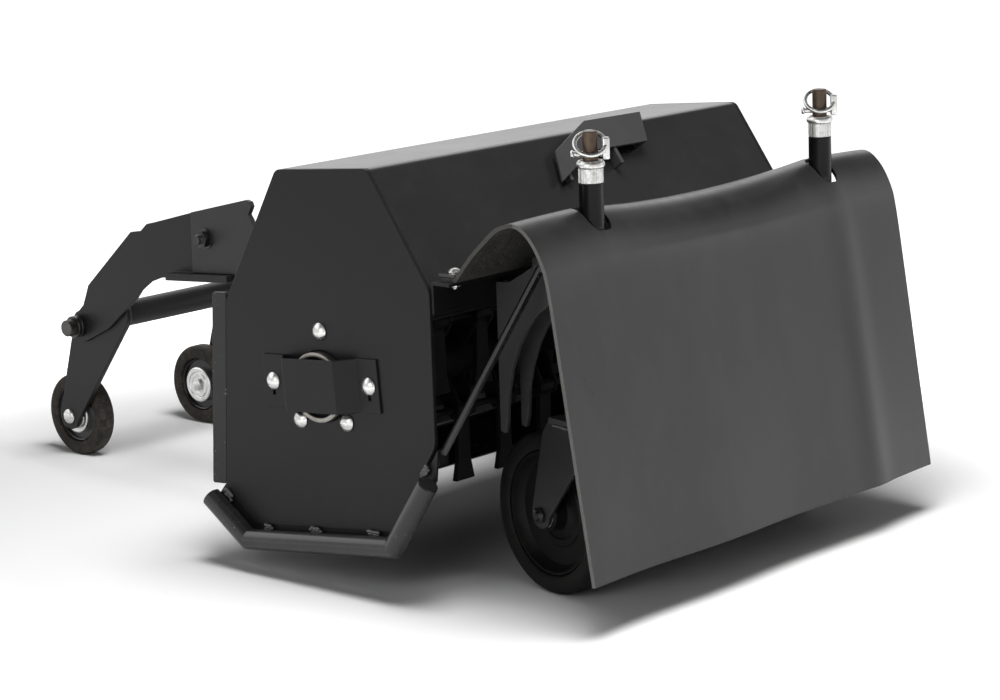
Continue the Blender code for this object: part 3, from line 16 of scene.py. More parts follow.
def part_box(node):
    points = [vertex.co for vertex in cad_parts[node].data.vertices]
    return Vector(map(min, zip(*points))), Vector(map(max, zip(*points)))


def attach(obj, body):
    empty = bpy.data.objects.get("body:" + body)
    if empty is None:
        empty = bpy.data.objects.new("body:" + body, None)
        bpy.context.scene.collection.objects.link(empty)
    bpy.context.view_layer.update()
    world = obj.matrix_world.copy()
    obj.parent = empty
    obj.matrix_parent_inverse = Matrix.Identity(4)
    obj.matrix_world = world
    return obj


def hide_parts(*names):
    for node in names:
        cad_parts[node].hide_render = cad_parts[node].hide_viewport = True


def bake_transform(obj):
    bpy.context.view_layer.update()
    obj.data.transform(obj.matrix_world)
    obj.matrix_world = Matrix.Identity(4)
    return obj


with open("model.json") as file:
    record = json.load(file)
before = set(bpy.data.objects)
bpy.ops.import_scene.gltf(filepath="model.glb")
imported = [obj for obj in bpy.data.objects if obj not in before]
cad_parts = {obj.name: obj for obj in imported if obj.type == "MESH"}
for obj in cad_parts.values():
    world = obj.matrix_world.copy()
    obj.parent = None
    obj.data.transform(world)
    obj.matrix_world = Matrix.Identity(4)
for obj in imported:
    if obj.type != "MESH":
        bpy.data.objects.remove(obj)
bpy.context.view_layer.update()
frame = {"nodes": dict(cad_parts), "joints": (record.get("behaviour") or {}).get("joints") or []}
joints = {joint["name"]: joint for joint in frame["joints"]}

# %% [markdown]
# The photograph was taken from the front left, a little above the hood and slightly
# rolled. The camera is built from that direction, its distance and a long lens, so that
# the model falls where the machine stands in the picture.

# %% Camera
CAMERA_AZIMUTH = math.radians(48.034)
CAMERA_ELEVATION = math.radians(11.646)
CAMERA_ROLL = math.radians(-1.937)
CAMERA_DISTANCE = 3.8743
CAMERA_AIM = Vector((-0.0113, -0.1991, 0.2373))
LENS_MM = 102.64

level = math.cos(CAMERA_ELEVATION)
back = Vector((-math.sin(CAMERA_AZIMUTH) * level, -math.cos(CAMERA_AZIMUTH) * level,
               math.sin(CAMERA_ELEVATION)))
right = Vector((math.cos(CAMERA_AZIMUTH), -math.sin(CAMERA_AZIMUTH), 0))
up = back.cross(right)
rolled_right = right * math.cos(CAMERA_ROLL) + up * math.sin(CAMERA_ROLL)
rolled_up = up * math.cos(CAMERA_ROLL) - right * math.sin(CAMERA_ROLL)

bpy.ops.object.camera_add()
camera = bpy.context.object
camera.name = "photo_camera"
camera.data.lens = LENS_MM
camera.data.sensor_width = 36
turn = Matrix((rolled_right, rolled_up, back)).transposed().to_4x4()
camera.matrix_world = Matrix.Translation(CAMERA_AIM + back * CAMERA_DISTANCE) @ turn
bpy.context.scene.camera = camera
bpy.context.scene.view_settings.view_transform = "Standard"
print("camera stands", round(CAMERA_DISTANCE, 2), "m from the mower")

# %% [markdown]
# A shader is maths on sockets. Written out node by node that maths is hard to read, so one
# small class wraps a socket and lets it take part in sums. Any other node comes from one
# method, which takes the node's kind, its settings and what goes into its sockets.

# %% Shader maths


class Value:
    """An output socket that can be added, subtracted and multiplied."""

    def __init__(self, finish, socket):
        self.finish = finish
        self.socket = socket

    def sum_with(self, operation, first, second):
        return self.finish.node("ShaderNodeMath", {"operation": operation}, {0: first, 1: second})

    def __add__(self, other):
        return self.sum_with("ADD", self, other)

    __radd__ = __add__

    def __mul__(self, other):
        return self.sum_with("MULTIPLY", self, other)

    __rmul__ = __mul__

    def __sub__(self, other):
        return self.sum_with("SUBTRACT", self, other)

    def __rsub__(self, other):
        return self.sum_with("SUBTRACT", other, self)

    def clamped(self):
        return self.finish.node("ShaderNodeClamp", None, {"Value": self})


class Finish:
    """A material in the making, with its Principled shader as the surface."""

    def __init__(self, name):
        self.material = bpy.data.materials.new(name)
        self.material.use_nodes = True
        self.tree = self.material.node_tree
        self.surface = self.tree.nodes["Principled BSDF"]
        self.place = self.node("ShaderNodeTexCoord", output="Object")

    def feed(self, socket, value):
        if isinstance(value, Value):
            self.tree.links.new(value.socket, socket)
        else:
            socket.default_value = value

    def node(self, kind, settings=None, inputs=None, output=0):
        made = self.tree.nodes.new(kind)
        for key, value in (settings or {}).items():
            if key == "stops":
                for stop, (position, shade) in zip(made.color_ramp.elements, value):
                    stop.position = position
                    stop.color = (shade, shade, shade, 1)
            else:
                setattr(made, key, value)
        for key, value in (inputs or {}).items():
            self.feed(made.inputs[key], value)
        return Value(self, made.outputs[output])

    def noise(self, scale, detail=2.0, rough=0.5, stretch=(1, 1, 1)):
        """Noise of the given scale, drawn out along an axis where its stretch is small."""
        seen = self.node("ShaderNodeMapping", None, {"Vector": self.place, "Scale": stretch})
        sockets = {"Vector": seen, "Scale": scale, "Detail": detail, "Roughness": rough}
        return self.node("ShaderNodeTexNoise", None, sockets, "Fac")

    def ramp(self, value, dark, light):
        """0 below the first place, 1 above the second, smooth between."""
        stops = [(dark, 0.0), (light, 1.0)]
        return self.node("ShaderNodeValToRGB", {"stops": stops}, {"Fac": value})

    def blend(self, mask, first, second):
        """Two colours mixed by a mask."""
        made = self.tree.nodes.new("ShaderNodeMix")
        made.data_type = "RGBA"
        self.feed(made.inputs[0], mask)
        for index, colour in ((6, first), (7, second)):
            self.feed(made.inputs[index], colour if isinstance(colour, Value) else (*colour, 1))
        return Value(self, made.outputs[2])

    def height(self):
        """How high the surface point is above the ground, in metres."""
        return self.node("ShaderNodeSeparateXYZ", None, {0: self.place}, 2)

    def facing_up(self):
        """1 where the surface faces the sky, 0 where it is upright."""
        normal = self.node("ShaderNodeNewGeometry", output="Normal")
        upward = self.node("ShaderNodeSeparateXYZ", None, {0: normal}, 2)
        return upward.clamped()

    def bump(self, value, distance, under=None):
        """Relief from a value, over finer relief where there is some under it."""
        sockets = {"Height": value, "Distance": distance, "Strength": 1.0}
        if under:
            sockets["Normal"] = under
        return self.node("ShaderNodeBump", None, sockets)

    def set(self, **sockets):
        for key, value in sockets.items():
            self.feed(self.surface.inputs[key.replace("_", " ")], value)


print("shader helper ready")

# %% [markdown]
# Nearly all of the machine is black powder coat on steel. Sprayed powder melts into a
# satin skin with a very fine ripple. After some handling it carries a little dust where
# it faces up and near the ground, and it is a touch duller in cloudy patches. A single
# colour would look like plastic, so all of these are worked out from noise. Worn paint
# has chips that show grey metal. Parts coated in other batches differ in shade and shine.
# The bracket paint's lighter grey is painted light: a painted highlight on faces that
# catch more light than the hood. The caster arms' grey below their sleeves is a painted
# reflection.

# %% Painted steel
DUST_COLOUR = (0.115, 0.102, 0.086)
BARE_COLOUR = (0.34, 0.33, 0.31)
RIPPLE = 0.00006


def painted_steel(name, colour, roughness, dust=0.25, shine=0.42, chips=0.0):
    finish = Finish(name)
    clouds = finish.noise(6.0, 3.0)
    smears = finish.noise(26.0, 2.0, 0.6, (1, 1, 0.18))
    grain = finish.noise(420.0, 1.0)
    low = finish.ramp(1 - finish.height() * 3.2, 0.45, 0.95)
    settled = finish.ramp(finish.noise(34.0, 4.0, 0.65), 0.48, 0.72)
    dusty = (settled * (finish.facing_up() * 0.35 + low * 0.5) * dust).clamped()
    tone = finish.blend(clouds, [shade * 0.82 for shade in colour], [shade * 1.2 for shade in colour])
    bare = finish.ramp(finish.noise(150.0, 3.0, 0.7), 0.66, 0.72) * chips
    finish.set(Base_Color=finish.blend(bare, finish.blend(dusty, tone, DUST_COLOUR), BARE_COLOUR))
    finish.set(Roughness=clouds * 0.10 + smears * 0.06 + dusty * 0.3 + (roughness - 0.08))
    finish.set(Normal=finish.bump(grain, RIPPLE))
    finish.set(Specular_IOR_Level=shine)
    return finish.material


PAINT = painted_steel("black_powder_coat", (0.0145, 0.0145, 0.0150), 0.24, dust=0.15, shine=0.50)
PLATE_PAINT = painted_steel("plate_powder_coat", (0.0100, 0.0100, 0.0103), 0.40, dust=0.10, shine=0.18)
# Lighter grey: painted light, a painted highlight where the bracket and the forks' crowns catch more light.
BRACKET_PAINTED_LIGHT = painted_steel("bracket_coat_painted_light", (0.040, 0.040, 0.041), 0.46, dust=0.30, shine=0.35)
STRIP_PAINT = painted_steel("worn_strip_paint", (0.0160, 0.0160, 0.0164), 0.42, dust=0.30, shine=0.25,
                            chips=0.8)
DISH_PAINT = painted_steel("dish_enamel", (0.0060, 0.0060, 0.0061), 0.50, dust=0.15, shine=0.12)
HITCH_PAINT = painted_steel("hitch_powder_coat", (0.0230, 0.0230, 0.0236), 0.46, dust=0.30, shine=0.30)
ARM_PAINT = painted_steel("arm_powder_coat", (0.0130, 0.0130, 0.0133), 0.40, dust=0.20, shine=0.20)
FORK_PAINT = painted_steel("fork_enamel", (0.024, 0.024, 0.025), 0.40, dust=0.4, shine=0.30)
SKID_PAINT = painted_steel("skid_enamel", (0.0130, 0.0130, 0.0134), 0.24, dust=0.2, shine=0.50, chips=0.3)
WELD_PAINT = painted_steel("painted_weld", (0.060, 0.060, 0.060), 0.22, dust=0.2, shine=0.60, chips=0.9)


def arm_paint_with_painted_reflection(name, arm, sleeve, from_height):
    """Painted reflection in grey on the arm below, and a black sleeve above the given height."""
    finish = Finish(name)
    clouds = finish.noise(9.0, 3.0)
    above = finish.ramp(finish.height(), from_height - 0.003, from_height + 0.003)
    tone = finish.blend(clouds, [shade * 0.8 for shade in arm], [shade * 1.2 for shade in arm])
    finish.set(Base_Color=finish.blend(above, tone, sleeve))
    finish.set(Roughness=clouds * 0.10 - above * 0.22 + 0.42)
    finish.set(Normal=finish.bump(finish.noise(420.0, 1.0), RIPPLE))
    finish.set(Specular_IOR_Level=0.13)
    return finish.material


# The arm's grey below the sleeve stands for light its cheeks reflect: a painted reflection.
SLEEVE_PAINT = arm_paint_with_painted_reflection("caster_arm_with_painted_reflection", (0.060, 0.060, 0.061), (0.0060, 0.0060, 0.0060), 0.470)
print("paints:", PAINT.name, PLATE_PAINT.name, ARM_PAINT.name, FORK_PAINT.name, SKID_PAINT.name)

# %% [markdown]
# Inside the housing the steel is only primed and has worked in cut grass: it is rough and
# slightly brown. Its colour is kept very dark as painted shade for the housing's dark inside.
# The knives are forged.

# %% Working steel


def working_steel(name, colour, rust, roughness):
    finish = Finish(name)
    patches = finish.noise(22.0, 4.0, 0.62)
    pits = finish.noise(260.0, 3.0, 0.7)
    rusty = finish.ramp(patches, 0.52, 0.72) * 0.6
    finish.set(Base_Color=finish.blend(rusty, colour, rust))
    finish.set(Metallic=0.30 - rusty * 0.3)
    finish.set(Roughness=patches * 0.25 + (roughness - 0.12))
    finish.set(Normal=finish.bump(pits, 0.00022))
    finish.set(Specular_IOR_Level=0.25)
    return finish.material


# Rotor and knives are coloured near black, painted shade for the inside of the housing; the rust patches are
# real.
ROTOR_STEEL = working_steel("rotor_steel", (0.0075, 0.0072, 0.0070), (0.018, 0.013, 0.010), 0.60)
KNIFE_IRON = working_steel("knife_iron", (0.0095, 0.0095, 0.0095), (0.020, 0.016, 0.012), 0.52)
print("working steels:", ROTOR_STEEL.name, KNIFE_IRON.name)

# %% [markdown]
# Bolts, collars and pins are zinc plated: a bright grey metal with a soft bloom, fine
# handling marks and small dull spots. The stems' ends are bare ground bar, browned by
# oil and air.

# %% Plated and bare metal


def bare_metal(name, colour, stain, roughness, stained, brushed=(1, 1, 1)):
    finish = Finish(name)
    bloom = finish.noise(55.0, 3.0, 0.6)
    marks = finish.noise(900.0, 1.0, 0.5, brushed)
    spots = finish.ramp(finish.noise(140.0, 4.0, 0.7), 0.60 - stained * 0.2, 0.78)
    finish.set(Base_Color=finish.blend(spots * stained, colour, stain))
    finish.set(Metallic=1.0 - spots * stained * 0.6)
    finish.set(Roughness=bloom * 0.14 + marks * 0.06 + (roughness - 0.10))
    finish.set(Normal=finish.bump(marks, 0.00003))
    return finish.material


ZINC = bare_metal("zinc_plate", (0.64, 0.64, 0.63), (0.30, 0.29, 0.27), 0.28, 0.7)
STEM_BAR = bare_metal("oiled_bar", (0.088, 0.064, 0.048), (0.034, 0.024, 0.017), 0.42, 0.8, (1, 1, 0.1))
RING_STEEL = bare_metal("bearing_ring_steel", (0.30, 0.285, 0.265), (0.12, 0.10, 0.08), 0.42, 0.7)
HUB_METAL = bare_metal("hub_zinc", (0.66, 0.66, 0.65), (0.36, 0.34, 0.30), 0.36, 0.4)
BLACK_BOLT = painted_steel("black_oxide_bolt", (0.0080, 0.0080, 0.0080), 0.30, dust=0.1)
BOLT_END = bare_metal("cut_bolt_end", (0.085, 0.083, 0.080), (0.04, 0.035, 0.03), 0.48, 0.6)
print("metals:", ZINC.name, STEM_BAR.name, HUB_METAL.name, BLACK_BOLT.name, BOLT_END.name)

# %% [markdown]
# The flap is smooth sheet, calendered in one direction, so its faint streaks run down it.
# Its back is raw, rumpled and brownish. Its cut ends ahead of the crest are paler, a painted
# highlight along the edge. The tyres and the belt are moulded and scuffed, with dried earth
# in the tread.

# %% Rubber


def sheet_rubber(name, colour, roughness, dull, rumple=0.0):
    finish = Finish(name)
    clouds = finish.noise(4.5, 3.0, 0.55, (1, 1, 0.6))
    streaks = finish.noise(46.0, 3.0, 0.6, (1, 0.2, 0.05))
    chalk = finish.ramp(finish.noise(18.0, 5.0, 0.68, (1, 1, 0.35)), 0.44, 0.80)
    skin = finish.noise(700.0, 2.0)
    tone = finish.blend(clouds * 0.6 + streaks * 0.4, [shade * 0.80 for shade in colour],
                        [shade * 1.22 for shade in colour])
    finish.set(Base_Color=finish.blend(chalk * dull, tone, (0.150, 0.148, 0.143)))
    finish.set(Roughness=clouds * 0.16 + streaks * 0.20 + chalk * 0.08 + (roughness - 0.20))
    fine = finish.bump(skin * 0.5 + streaks * 0.5, 0.00007)
    if rumple:
        fine = finish.bump(finish.noise(30.0, 4.0, 0.62), rumple, fine)
    finish.set(Normal=fine)
    finish.set(Specular_IOR_Level=0.42)
    return finish.material


def tyre_rubber(name, colour, earth, amount):
    finish = Finish(name)
    scuffs = finish.noise(70.0, 4.0, 0.65)
    grains = finish.noise(380.0, 3.0, 0.7)
    dried = (finish.ramp(scuffs, 0.42, 0.74) * finish.ramp(grains, 0.30, 0.62) * amount).clamped()
    finish.set(Base_Color=finish.blend(dried, colour, earth))
    finish.set(Roughness=scuffs * 0.20 + dried * 0.15 + 0.50)
    finish.set(Normal=finish.bump(grains, 0.00016))
    finish.set(Specular_IOR_Level=0.15)
    return finish.material


FLAP_FACE = sheet_rubber("flap_face", (0.0150, 0.0150, 0.0150), 0.34, 0.07)
FLAP_BACK = sheet_rubber("flap_back", (0.030, 0.028, 0.026), 0.56, 0.10, 0.007)
# The paler cut-edge rubber is a painted highlight along the flap's front ends.
FLAP_EDGE_HIGHLIGHT = sheet_rubber("flap_edge_painted_highlight", (0.120, 0.118, 0.112), 0.70, 0.20)
CASTER_RUBBER = tyre_rubber("caster_rubber", (0.0055, 0.0055, 0.0055), (0.050, 0.043, 0.036), 0.25)
REAR_RUBBER = tyre_rubber("rear_rubber", (0.0190, 0.0178, 0.0170), (0.150, 0.120, 0.090), 0.55)
BELT_RUBBER = tyre_rubber("belt_rubber", (0.016, 0.016, 0.016), (0.050, 0.046, 0.040), 0.30)
print("rubbers:", FLAP_FACE.name, FLAP_BACK.name, CASTER_RUBBER.name, REAR_RUBBER.name, BELT_RUBBER.name)

# %% [markdown]
# The machine stands on a white floor. Near it the floor is pale by its own colour, where it
# holds the shadow, and farther out it turns plain white to the camera and in reflections.

# %% Floor
FLOOR_SIZE = 26.0
FLOOR_COLOUR = (0.86, 0.86, 0.86, 1)
GLOW_CENTRE = (0, -0.1, 0)
GLOW_STARTS = 0.74
GLOW_FULL = 1.45

bpy.ops.mesh.primitive_plane_add(size=FLOOR_SIZE)
floor = bpy.context.object
floor.name = "studio_floor"
ground = Finish("studio_floor")
ground.set(Base_Color=FLOOR_COLOUR, Roughness=0.9, Specular_IOR_Level=0.1)
seen = ground.node("ShaderNodeLightPath", output="Is Camera Ray")
glossy = ground.node("ShaderNodeLightPath", output="Is Glossy Ray")
wide = ground.node("ShaderNodeMapping", None, {"Vector": ground.place, "Scale": (1.25, 1, 1)})
away = ground.node("ShaderNodeVectorMath", {"operation": "DISTANCE"}, {0: wide, 1: GLOW_CENTRE}, "Value")
spread = ground.node("ShaderNodeMapRange", {"interpolation_type": "SMOOTHSTEP"},
                     {"Value": away, "From Min": GLOW_STARTS, "From Max": GLOW_FULL})
ground.set(Emission_Color=ground.blend(spread * (seen + glossy).clamped(), (0, 0, 0), (1, 1, 1)))
ground.set(Emission_Strength=1.0)
floor.data.materials.append(ground.material)
print("floor", FLOOR_SIZE, "m wide")

# %% [markdown]
# The surround is plain white to the camera. In reflections it is white near the horizon
# and dim overhead, with one brighter band behind the machine that runs along the flap's
# crest. As light it is weak, so that black paint stays black.

# %% Surround
SURROUND_LIGHT = 0.07
ZENITH = 0.12
RIM = 1.8

world = bpy.data.worlds.new("white_surround")
bpy.context.scene.world = world
world.use_nodes = True
nodes, links = world.node_tree.nodes, world.node_tree.links
path = nodes.new("ShaderNodeLightPath")
toward = nodes.new("ShaderNodeTexCoord")
parted = nodes.new("ShaderNodeSeparateXYZ")
links.new(toward.outputs["Generated"], parted.inputs[0])


def eased(source, inputs):
    """A smooth step of a world direction's part, from and to the given places."""
    step = nodes.new("ShaderNodeMapRange")
    step.interpolation_type = "SMOOTHSTEP"
    links.new(parted.outputs[source], step.inputs["Value"])
    for key, value in zip(("From Min", "From Max", "To Min", "To Max"), inputs):
        step.inputs[key].default_value = value
    return step.outputs[0]


def combined(operation, first, second):
    maths = nodes.new("ShaderNodeMath")
    maths.operation = operation
    links.new(first, maths.inputs[0])
    links.new(second, maths.inputs[1])
    return maths.outputs[0]


horizon = eased("Z", (0.26, 0.50, 1.0, ZENITH))
rim_low = eased("Z", (0.31, 0.42, 0.0, RIM))
rim_high = eased("Z", (0.74, 0.93, 1.0, 0.0))
rim_behind = eased("Y", (0.05, 0.45, 0.0, 1.0))
rim_light = combined("MULTIPLY", combined("MULTIPLY", rim_low, rim_high), rim_behind)
reflected = combined("ADD", horizon, rim_light)
shade = SURROUND_LIGHT
for ray, brightness in (("Is Glossy Ray", reflected), ("Is Camera Ray", 1.0)):
    choice = nodes.new("ShaderNodeMix")
    links.new(path.outputs[ray], choice.inputs["Factor"])
    for socket, value in ((choice.inputs["A"], shade), (choice.inputs["B"], brightness)):
        if isinstance(value, float):
            socket.default_value = value
        else:
            links.new(value, socket)
    shade = choice.outputs["Result"]
links.new(shade, nodes["Background"].inputs["Color"])
print("surround lights at", SURROUND_LIGHT)

# %% [markdown]
# One soft lamp overhead and a little in front lights the machine and throws its shadow,
# and two weak ones stand at the sides. The overhead one isn't seen in reflections.

# %% Lamps


def soft_lamp(name, place, aim, size, watts, seen_in_steel=True):
    bpy.ops.object.light_add(type="AREA", location=place)
    lamp = bpy.context.object
    lamp.name = name
    lamp.data.shape = "RECTANGLE"
    lamp.data.size, lamp.data.size_y = size
    lamp.data.energy = watts
    lamp.rotation_euler = (Vector(aim) - Vector(place)).to_track_quat("-Z", "Y").to_euler()
    lamp.visible_glossy = seen_in_steel


soft_lamp("overhead", (-0.35, -0.85, 2.5), (-0.05, -0.15, 0.2), (1.3, 1.1), 82, False)
soft_lamp("front_right", (1.9, -2.2, 1.3), (0.1, -0.3, 0.3), (1.4, 1.4), 4)
soft_lamp("front_left", (-2.4, -0.9, 1.1), (-0.2, 0, 0.3), (1.4, 1.4), 12)
print("three lamps")

# %% [markdown]
# Every operator works on whatever is selected, so the first helper leaves one piece
# selected and nothing else. Others change the mode, copy a piece, choose faces by a test
# on their middle and normal, and apply a modifier. The last one ends each piece: its place
# goes into its mesh, it gets its finish, and it rides on the body that carries it.

# %% Bench helpers
made = []


def place_of(joint):
    return Vector(joints[joint]["pos_m"])


def pick(piece):
    if bpy.context.mode != "OBJECT":
        bpy.ops.object.mode_set(mode="OBJECT")
    bpy.ops.object.select_all(action="DESELECT")
    piece.select_set(True)
    bpy.context.view_layer.objects.active = piece


def edit(on=True):
    bpy.ops.object.mode_set(mode="EDIT" if on else "OBJECT")


def choose_faces(piece, test):
    """In edit mode, selects the faces whose middle and normal pass the test."""
    bpy.ops.mesh.select_all(action="DESELECT")
    live = bmesh.from_edit_mesh(piece.data)
    for face in live.faces:
        face.select_set(bool(test(face.calc_center_median(), face.normal)))
    bmesh.update_edit_mesh(piece.data)


def face_outwards():
    """In edit mode, turns all faces outwards, and goes back to object mode."""
    bpy.ops.mesh.select_all(action="SELECT")
    bpy.ops.mesh.normals_make_consistent(inside=False)
    edit(False)


def copied(pattern):
    """A copy of a piece, with a mesh of its own."""
    copy = pattern.copy()
    copy.data = pattern.data.copy()
    bpy.context.scene.collection.objects.link(copy)
    return copy


def joined(pieces):
    pick(pieces[0])
    for piece in pieces[1:]:
        piece.select_set(True)
    bpy.ops.object.join()
    return bpy.context.object


def finished(piece, name, body, finish, replaces=(), smooth=None):
    """Bakes the piece's place, names it, gives it its finish and sets it riding on its body."""
    pick(piece)
    bpy.ops.object.transform_apply(location=True, rotation=True, scale=True)
    piece.name = name
    piece.data.name = name
    piece.data.materials.clear()
    piece.data.materials.append(finish)
    if smooth:
        bpy.ops.object.shade_smooth_by_angle(angle=math.radians(smooth))
    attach(piece, body)
    if replaces:
        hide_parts(*replaces)
    made.append(name)
    return piece


def with_modifier(piece, kind, **settings):
    """Adds a modifier with its settings and applies it."""
    pick(piece)
    added = piece.modifiers.new(kind.lower(), kind)
    for key, value in settings.items():
        setattr(added, key, value)
    bpy.ops.object.modifier_apply(modifier=added.name)


def cut_away(piece, cutter):
    """Cuts one piece out of another, and throws the cutter away."""
    with_modifier(piece, "BOOLEAN", operation="DIFFERENCE", solver="EXACT", object=cutter)
    bpy.data.objects.remove(cutter, do_unlink=True)


def broken_edges(piece, width, segments=2, angle=35):
    """Takes the sharpness off edges, and keeps the flats looking flat."""
    pick(piece)
    bpy.ops.object.shade_smooth()
    with_modifier(piece, "BEVEL", width=width, segments=segments, limit_method="ANGLE",
                  angle_limit=math.radians(angle), use_clamp_overlap=False)
    with_modifier(piece, "WEIGHTED_NORMAL", mode="FACE_AREA", weight=100, keep_sharp=True)


def block(centre, size, heading=0.0):
    """A box of the given size round its centre, turned about the vertical."""
    bpy.ops.object.select_all(action="DESELECT")
    bpy.ops.mesh.primitive_cube_add(size=1, location=centre)
    piece = bpy.context.object
    piece.scale = size
    piece.rotation_euler = (0, 0, heading)
    bpy.ops.object.transform_apply(location=False, rotation=True, scale=True)
    return piece


print("bench ready")

# %% [markdown]
# Plates, arms and tubes already have their right shape in the model, but their edges are
# knife sharp and their round parts are shaded flat. A real edge is broken by the saw, the
# grinder and the paint, and that thin line of light is what makes steel look like steel.
# Each such node is copied, welded, its flats made whole again, its edges bevelled, and
# the copy stands in for it.

# %% Edge the steelwork
WELD_NEAR = 0.00002
FLAT_WITHIN = math.radians(0.6)


def edged(node, body, finish, width=0.0009, segments=2):
    copy = bpy.data.objects.new(node + "_edged", frame["nodes"][node].data.copy())
    bpy.context.scene.collection.objects.link(copy)
    pick(copy)
    edit()
    bpy.ops.mesh.select_all(action="SELECT")
    bpy.ops.mesh.remove_doubles(threshold=WELD_NEAR)
    bpy.ops.mesh.dissolve_limited(angle_limit=FLAT_WITHIN)
    edit(False)
    broken_edges(copy, width, segments)
    return finished(copy, node + "_edged", body, finish, [node])


DECK_STEEL = {
    "hood_shell": (PAINT, 0.0008),
    "near_end_plate": (PLATE_PAINT, 0.0010), "far_end_plate": (PLATE_PAINT, 0.0010),
    "near_rear_strip": (STRIP_PAINT, 0.0008), "far_rear_strip": (STRIP_PAINT, 0.0008),
    "front_rail": (PLATE_PAINT, 0.0006), "flap_flange": (PLATE_PAINT, 0.0006),
    # The hood bracket's lighter paint is a painted highlight.
    "drive_case": (PLATE_PAINT, 0.0012), "hood_bracket": (BRACKET_PAINTED_LIGHT, 0.0008),
    "near_height_spacers": (PLATE_PAINT, 0.0005), "far_height_spacers": (PLATE_PAINT, 0.0005),
    "near_hitch_arm": (ARM_PAINT, 0.0009), "far_hitch_arm": (ARM_PAINT, 0.0009),
    "near_hitch_bracket": (HITCH_PAINT, 0.0011), "far_hitch_bracket": (HITCH_PAINT, 0.0011),
    "near_caster_arm": (SLEEVE_PAINT, 0.0008), "far_caster_arm": (SLEEVE_PAINT, 0.0008),
    "near_brace": (SKID_PAINT, 0.0006), "far_brace": (SKID_PAINT, 0.0006),
}
for node, (paint, width) in DECK_STEEL.items():
    edged(node, "deck", paint, width)
print("edged", len(made), "nodes of the deck")

# %% [markdown]
# The arm's sleeve looks slimmer where it stands free above its cheeks. The skin of the
# copy is drawn in there, and the bore is left as it is.

# %% Slim the sleeves
SLEEVE_R = 0.0150
SLEEVE_FOOT = 0.384
SLEEVE_SKIN = (0.0160, 0.0190)

for side in ("near", "far"):
    arm = bpy.data.objects[side + "_caster_arm_edged"]
    middle = place_of(side + "_caster_swivel").xy
    for vertex in arm.data.vertices:
        outward = vertex.co.xy - middle
        if vertex.co.z > SLEEVE_FOOT and SLEEVE_SKIN[0] < outward.length < SLEEVE_SKIN[1]:
            vertex.co.xy = middle + outward.normalized() * SLEEVE_R
print("sleeves", SLEEVE_R, "m in radius")

# %% [markdown]
# The moving steel is edged in the same way. The top of each fork's crown takes the lighter,
# duller bracket paint, a painted highlight along the crown's rounded edge.

# %% Edge the moving steel
CROWN_DROP = 0.014
CROWN_HIGHLIGHT_DEEP = 0.0080


def crown_top(side):
    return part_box(side + "_caster_fork")[1].z - CROWN_DROP


edged("wheel_carrier", "rear_carrier", ARM_PAINT, 0.0010)
for side in ("near", "far"):
    fork = edged(side + "_caster_fork", side + "_swivel", FORK_PAINT, 0.0009)
    # The crown's top band gets the lighter paint, a painted highlight.
    fork.data.materials.append(BRACKET_PAINTED_LIGHT)
    top = crown_top(side)
    for face in fork.data.polygons:
        if top - CROWN_HIGHLIGHT_DEEP < face.center.z < top + 0.0005:
            face.material_index = 1
edged("rotor", "rotor", ROTOR_STEEL, 0.0006, 1)
for letter in "abc":
    edged("knives_" + letter, "knife_row_" + letter, KNIFE_IRON, 0.0010)
edged("rotor_sheave", "rotor", ROTOR_STEEL, 0.0006)
edged("drive_shaft", "drive", ROTOR_STEEL, 0.0006)
edged("drive_bearing", "deck", ROTOR_STEEL, 0.0010)
print("edged", len(made), "nodes")

# %% [markdown]
# The drive belt hides in its case and keeps its own mesh, so it only needs its rubber.

# %% Belt
belt = frame["nodes"]["drive_belt"]
belt.data.materials.clear()
belt.data.materials.append(BELT_RUBBER)
print("belt finished")

# %% [markdown]
# Anything turned, such as a tyre, a collar or a bolt's dome, starts as one vertex. It is
# extruded from point to point into half a cross-section and spun about the axis, as a
# lathe would leave it. A ring's section closes on itself, and a solid's ends on the axis.

# %% Lathe


def wire(points):
    """Edges from point to point, in edit mode and all selected."""
    bpy.ops.object.select_all(action="DESELECT")
    bpy.ops.mesh.primitive_plane_add(size=0.01, location=(0, 0, 0))
    edit()
    bpy.ops.mesh.merge(type="CENTER")
    bpy.ops.transform.translate(value=points[0])
    for here, there in zip(points, points[1:]):
        bpy.ops.mesh.extrude_vertices_move(TRANSFORM_OT_translate={"value": there - here})
    bpy.ops.mesh.select_all(action="SELECT")
    return bpy.context.object


def turned(centre, axis, section, steps=64, ring=False):
    """Spins a section of (radius, height along the axis) points into a round piece."""
    centre = Vector(centre)
    axis = Vector(axis).normalized()
    outward = axis.orthogonal().normalized()
    points = [centre + outward * radius + axis * height for radius, height in section]
    if ring:
        points.append(points[0])
    piece = wire(points)
    bpy.ops.mesh.spin(steps=steps, angle=2 * math.pi, center=centre, axis=axis)
    bpy.ops.mesh.select_all(action="SELECT")
    bpy.ops.mesh.remove_doubles(threshold=0.00001)
    face_outwards()
    return piece


def lathed(name, body, finish, spot, section, steps=64, smooth=35, ring=True, replaces=()):
    """A turned piece, finished; its spot is a centre and an axis."""
    return finished(turned(*spot, section, steps, ring), name, body, finish, replaces, smooth)


def rod_section(radius, start, end):
    return [(0, start), (radius, start), (radius, end), (0, end)]


def mirrored(points, middle=()):
    """Section points, then any on the middle, then the first ones again on the other side."""
    return [*points, *middle, *((radius, -height) for radius, height in reversed(points))]


def arc(centre, radius, start, end, count=5):
    """Points of an arc in a section, between two angles in degrees."""
    angles = [math.radians(start + (end - start) * index / count) for index in range(count + 1)]
    return [(centre[0] + radius * math.cos(a), centre[1] + radius * math.sin(a)) for a in angles]


print("lathe ready")

# %% [markdown]
# The casters roll on solid rubber tyres over pressed rims. The tyre has rounded
# shoulders, a step where it grips the rim and a thin mould line round its middle. The rim
# dishes in from its bead to a web, and a bright bearing ring shows at the hub.

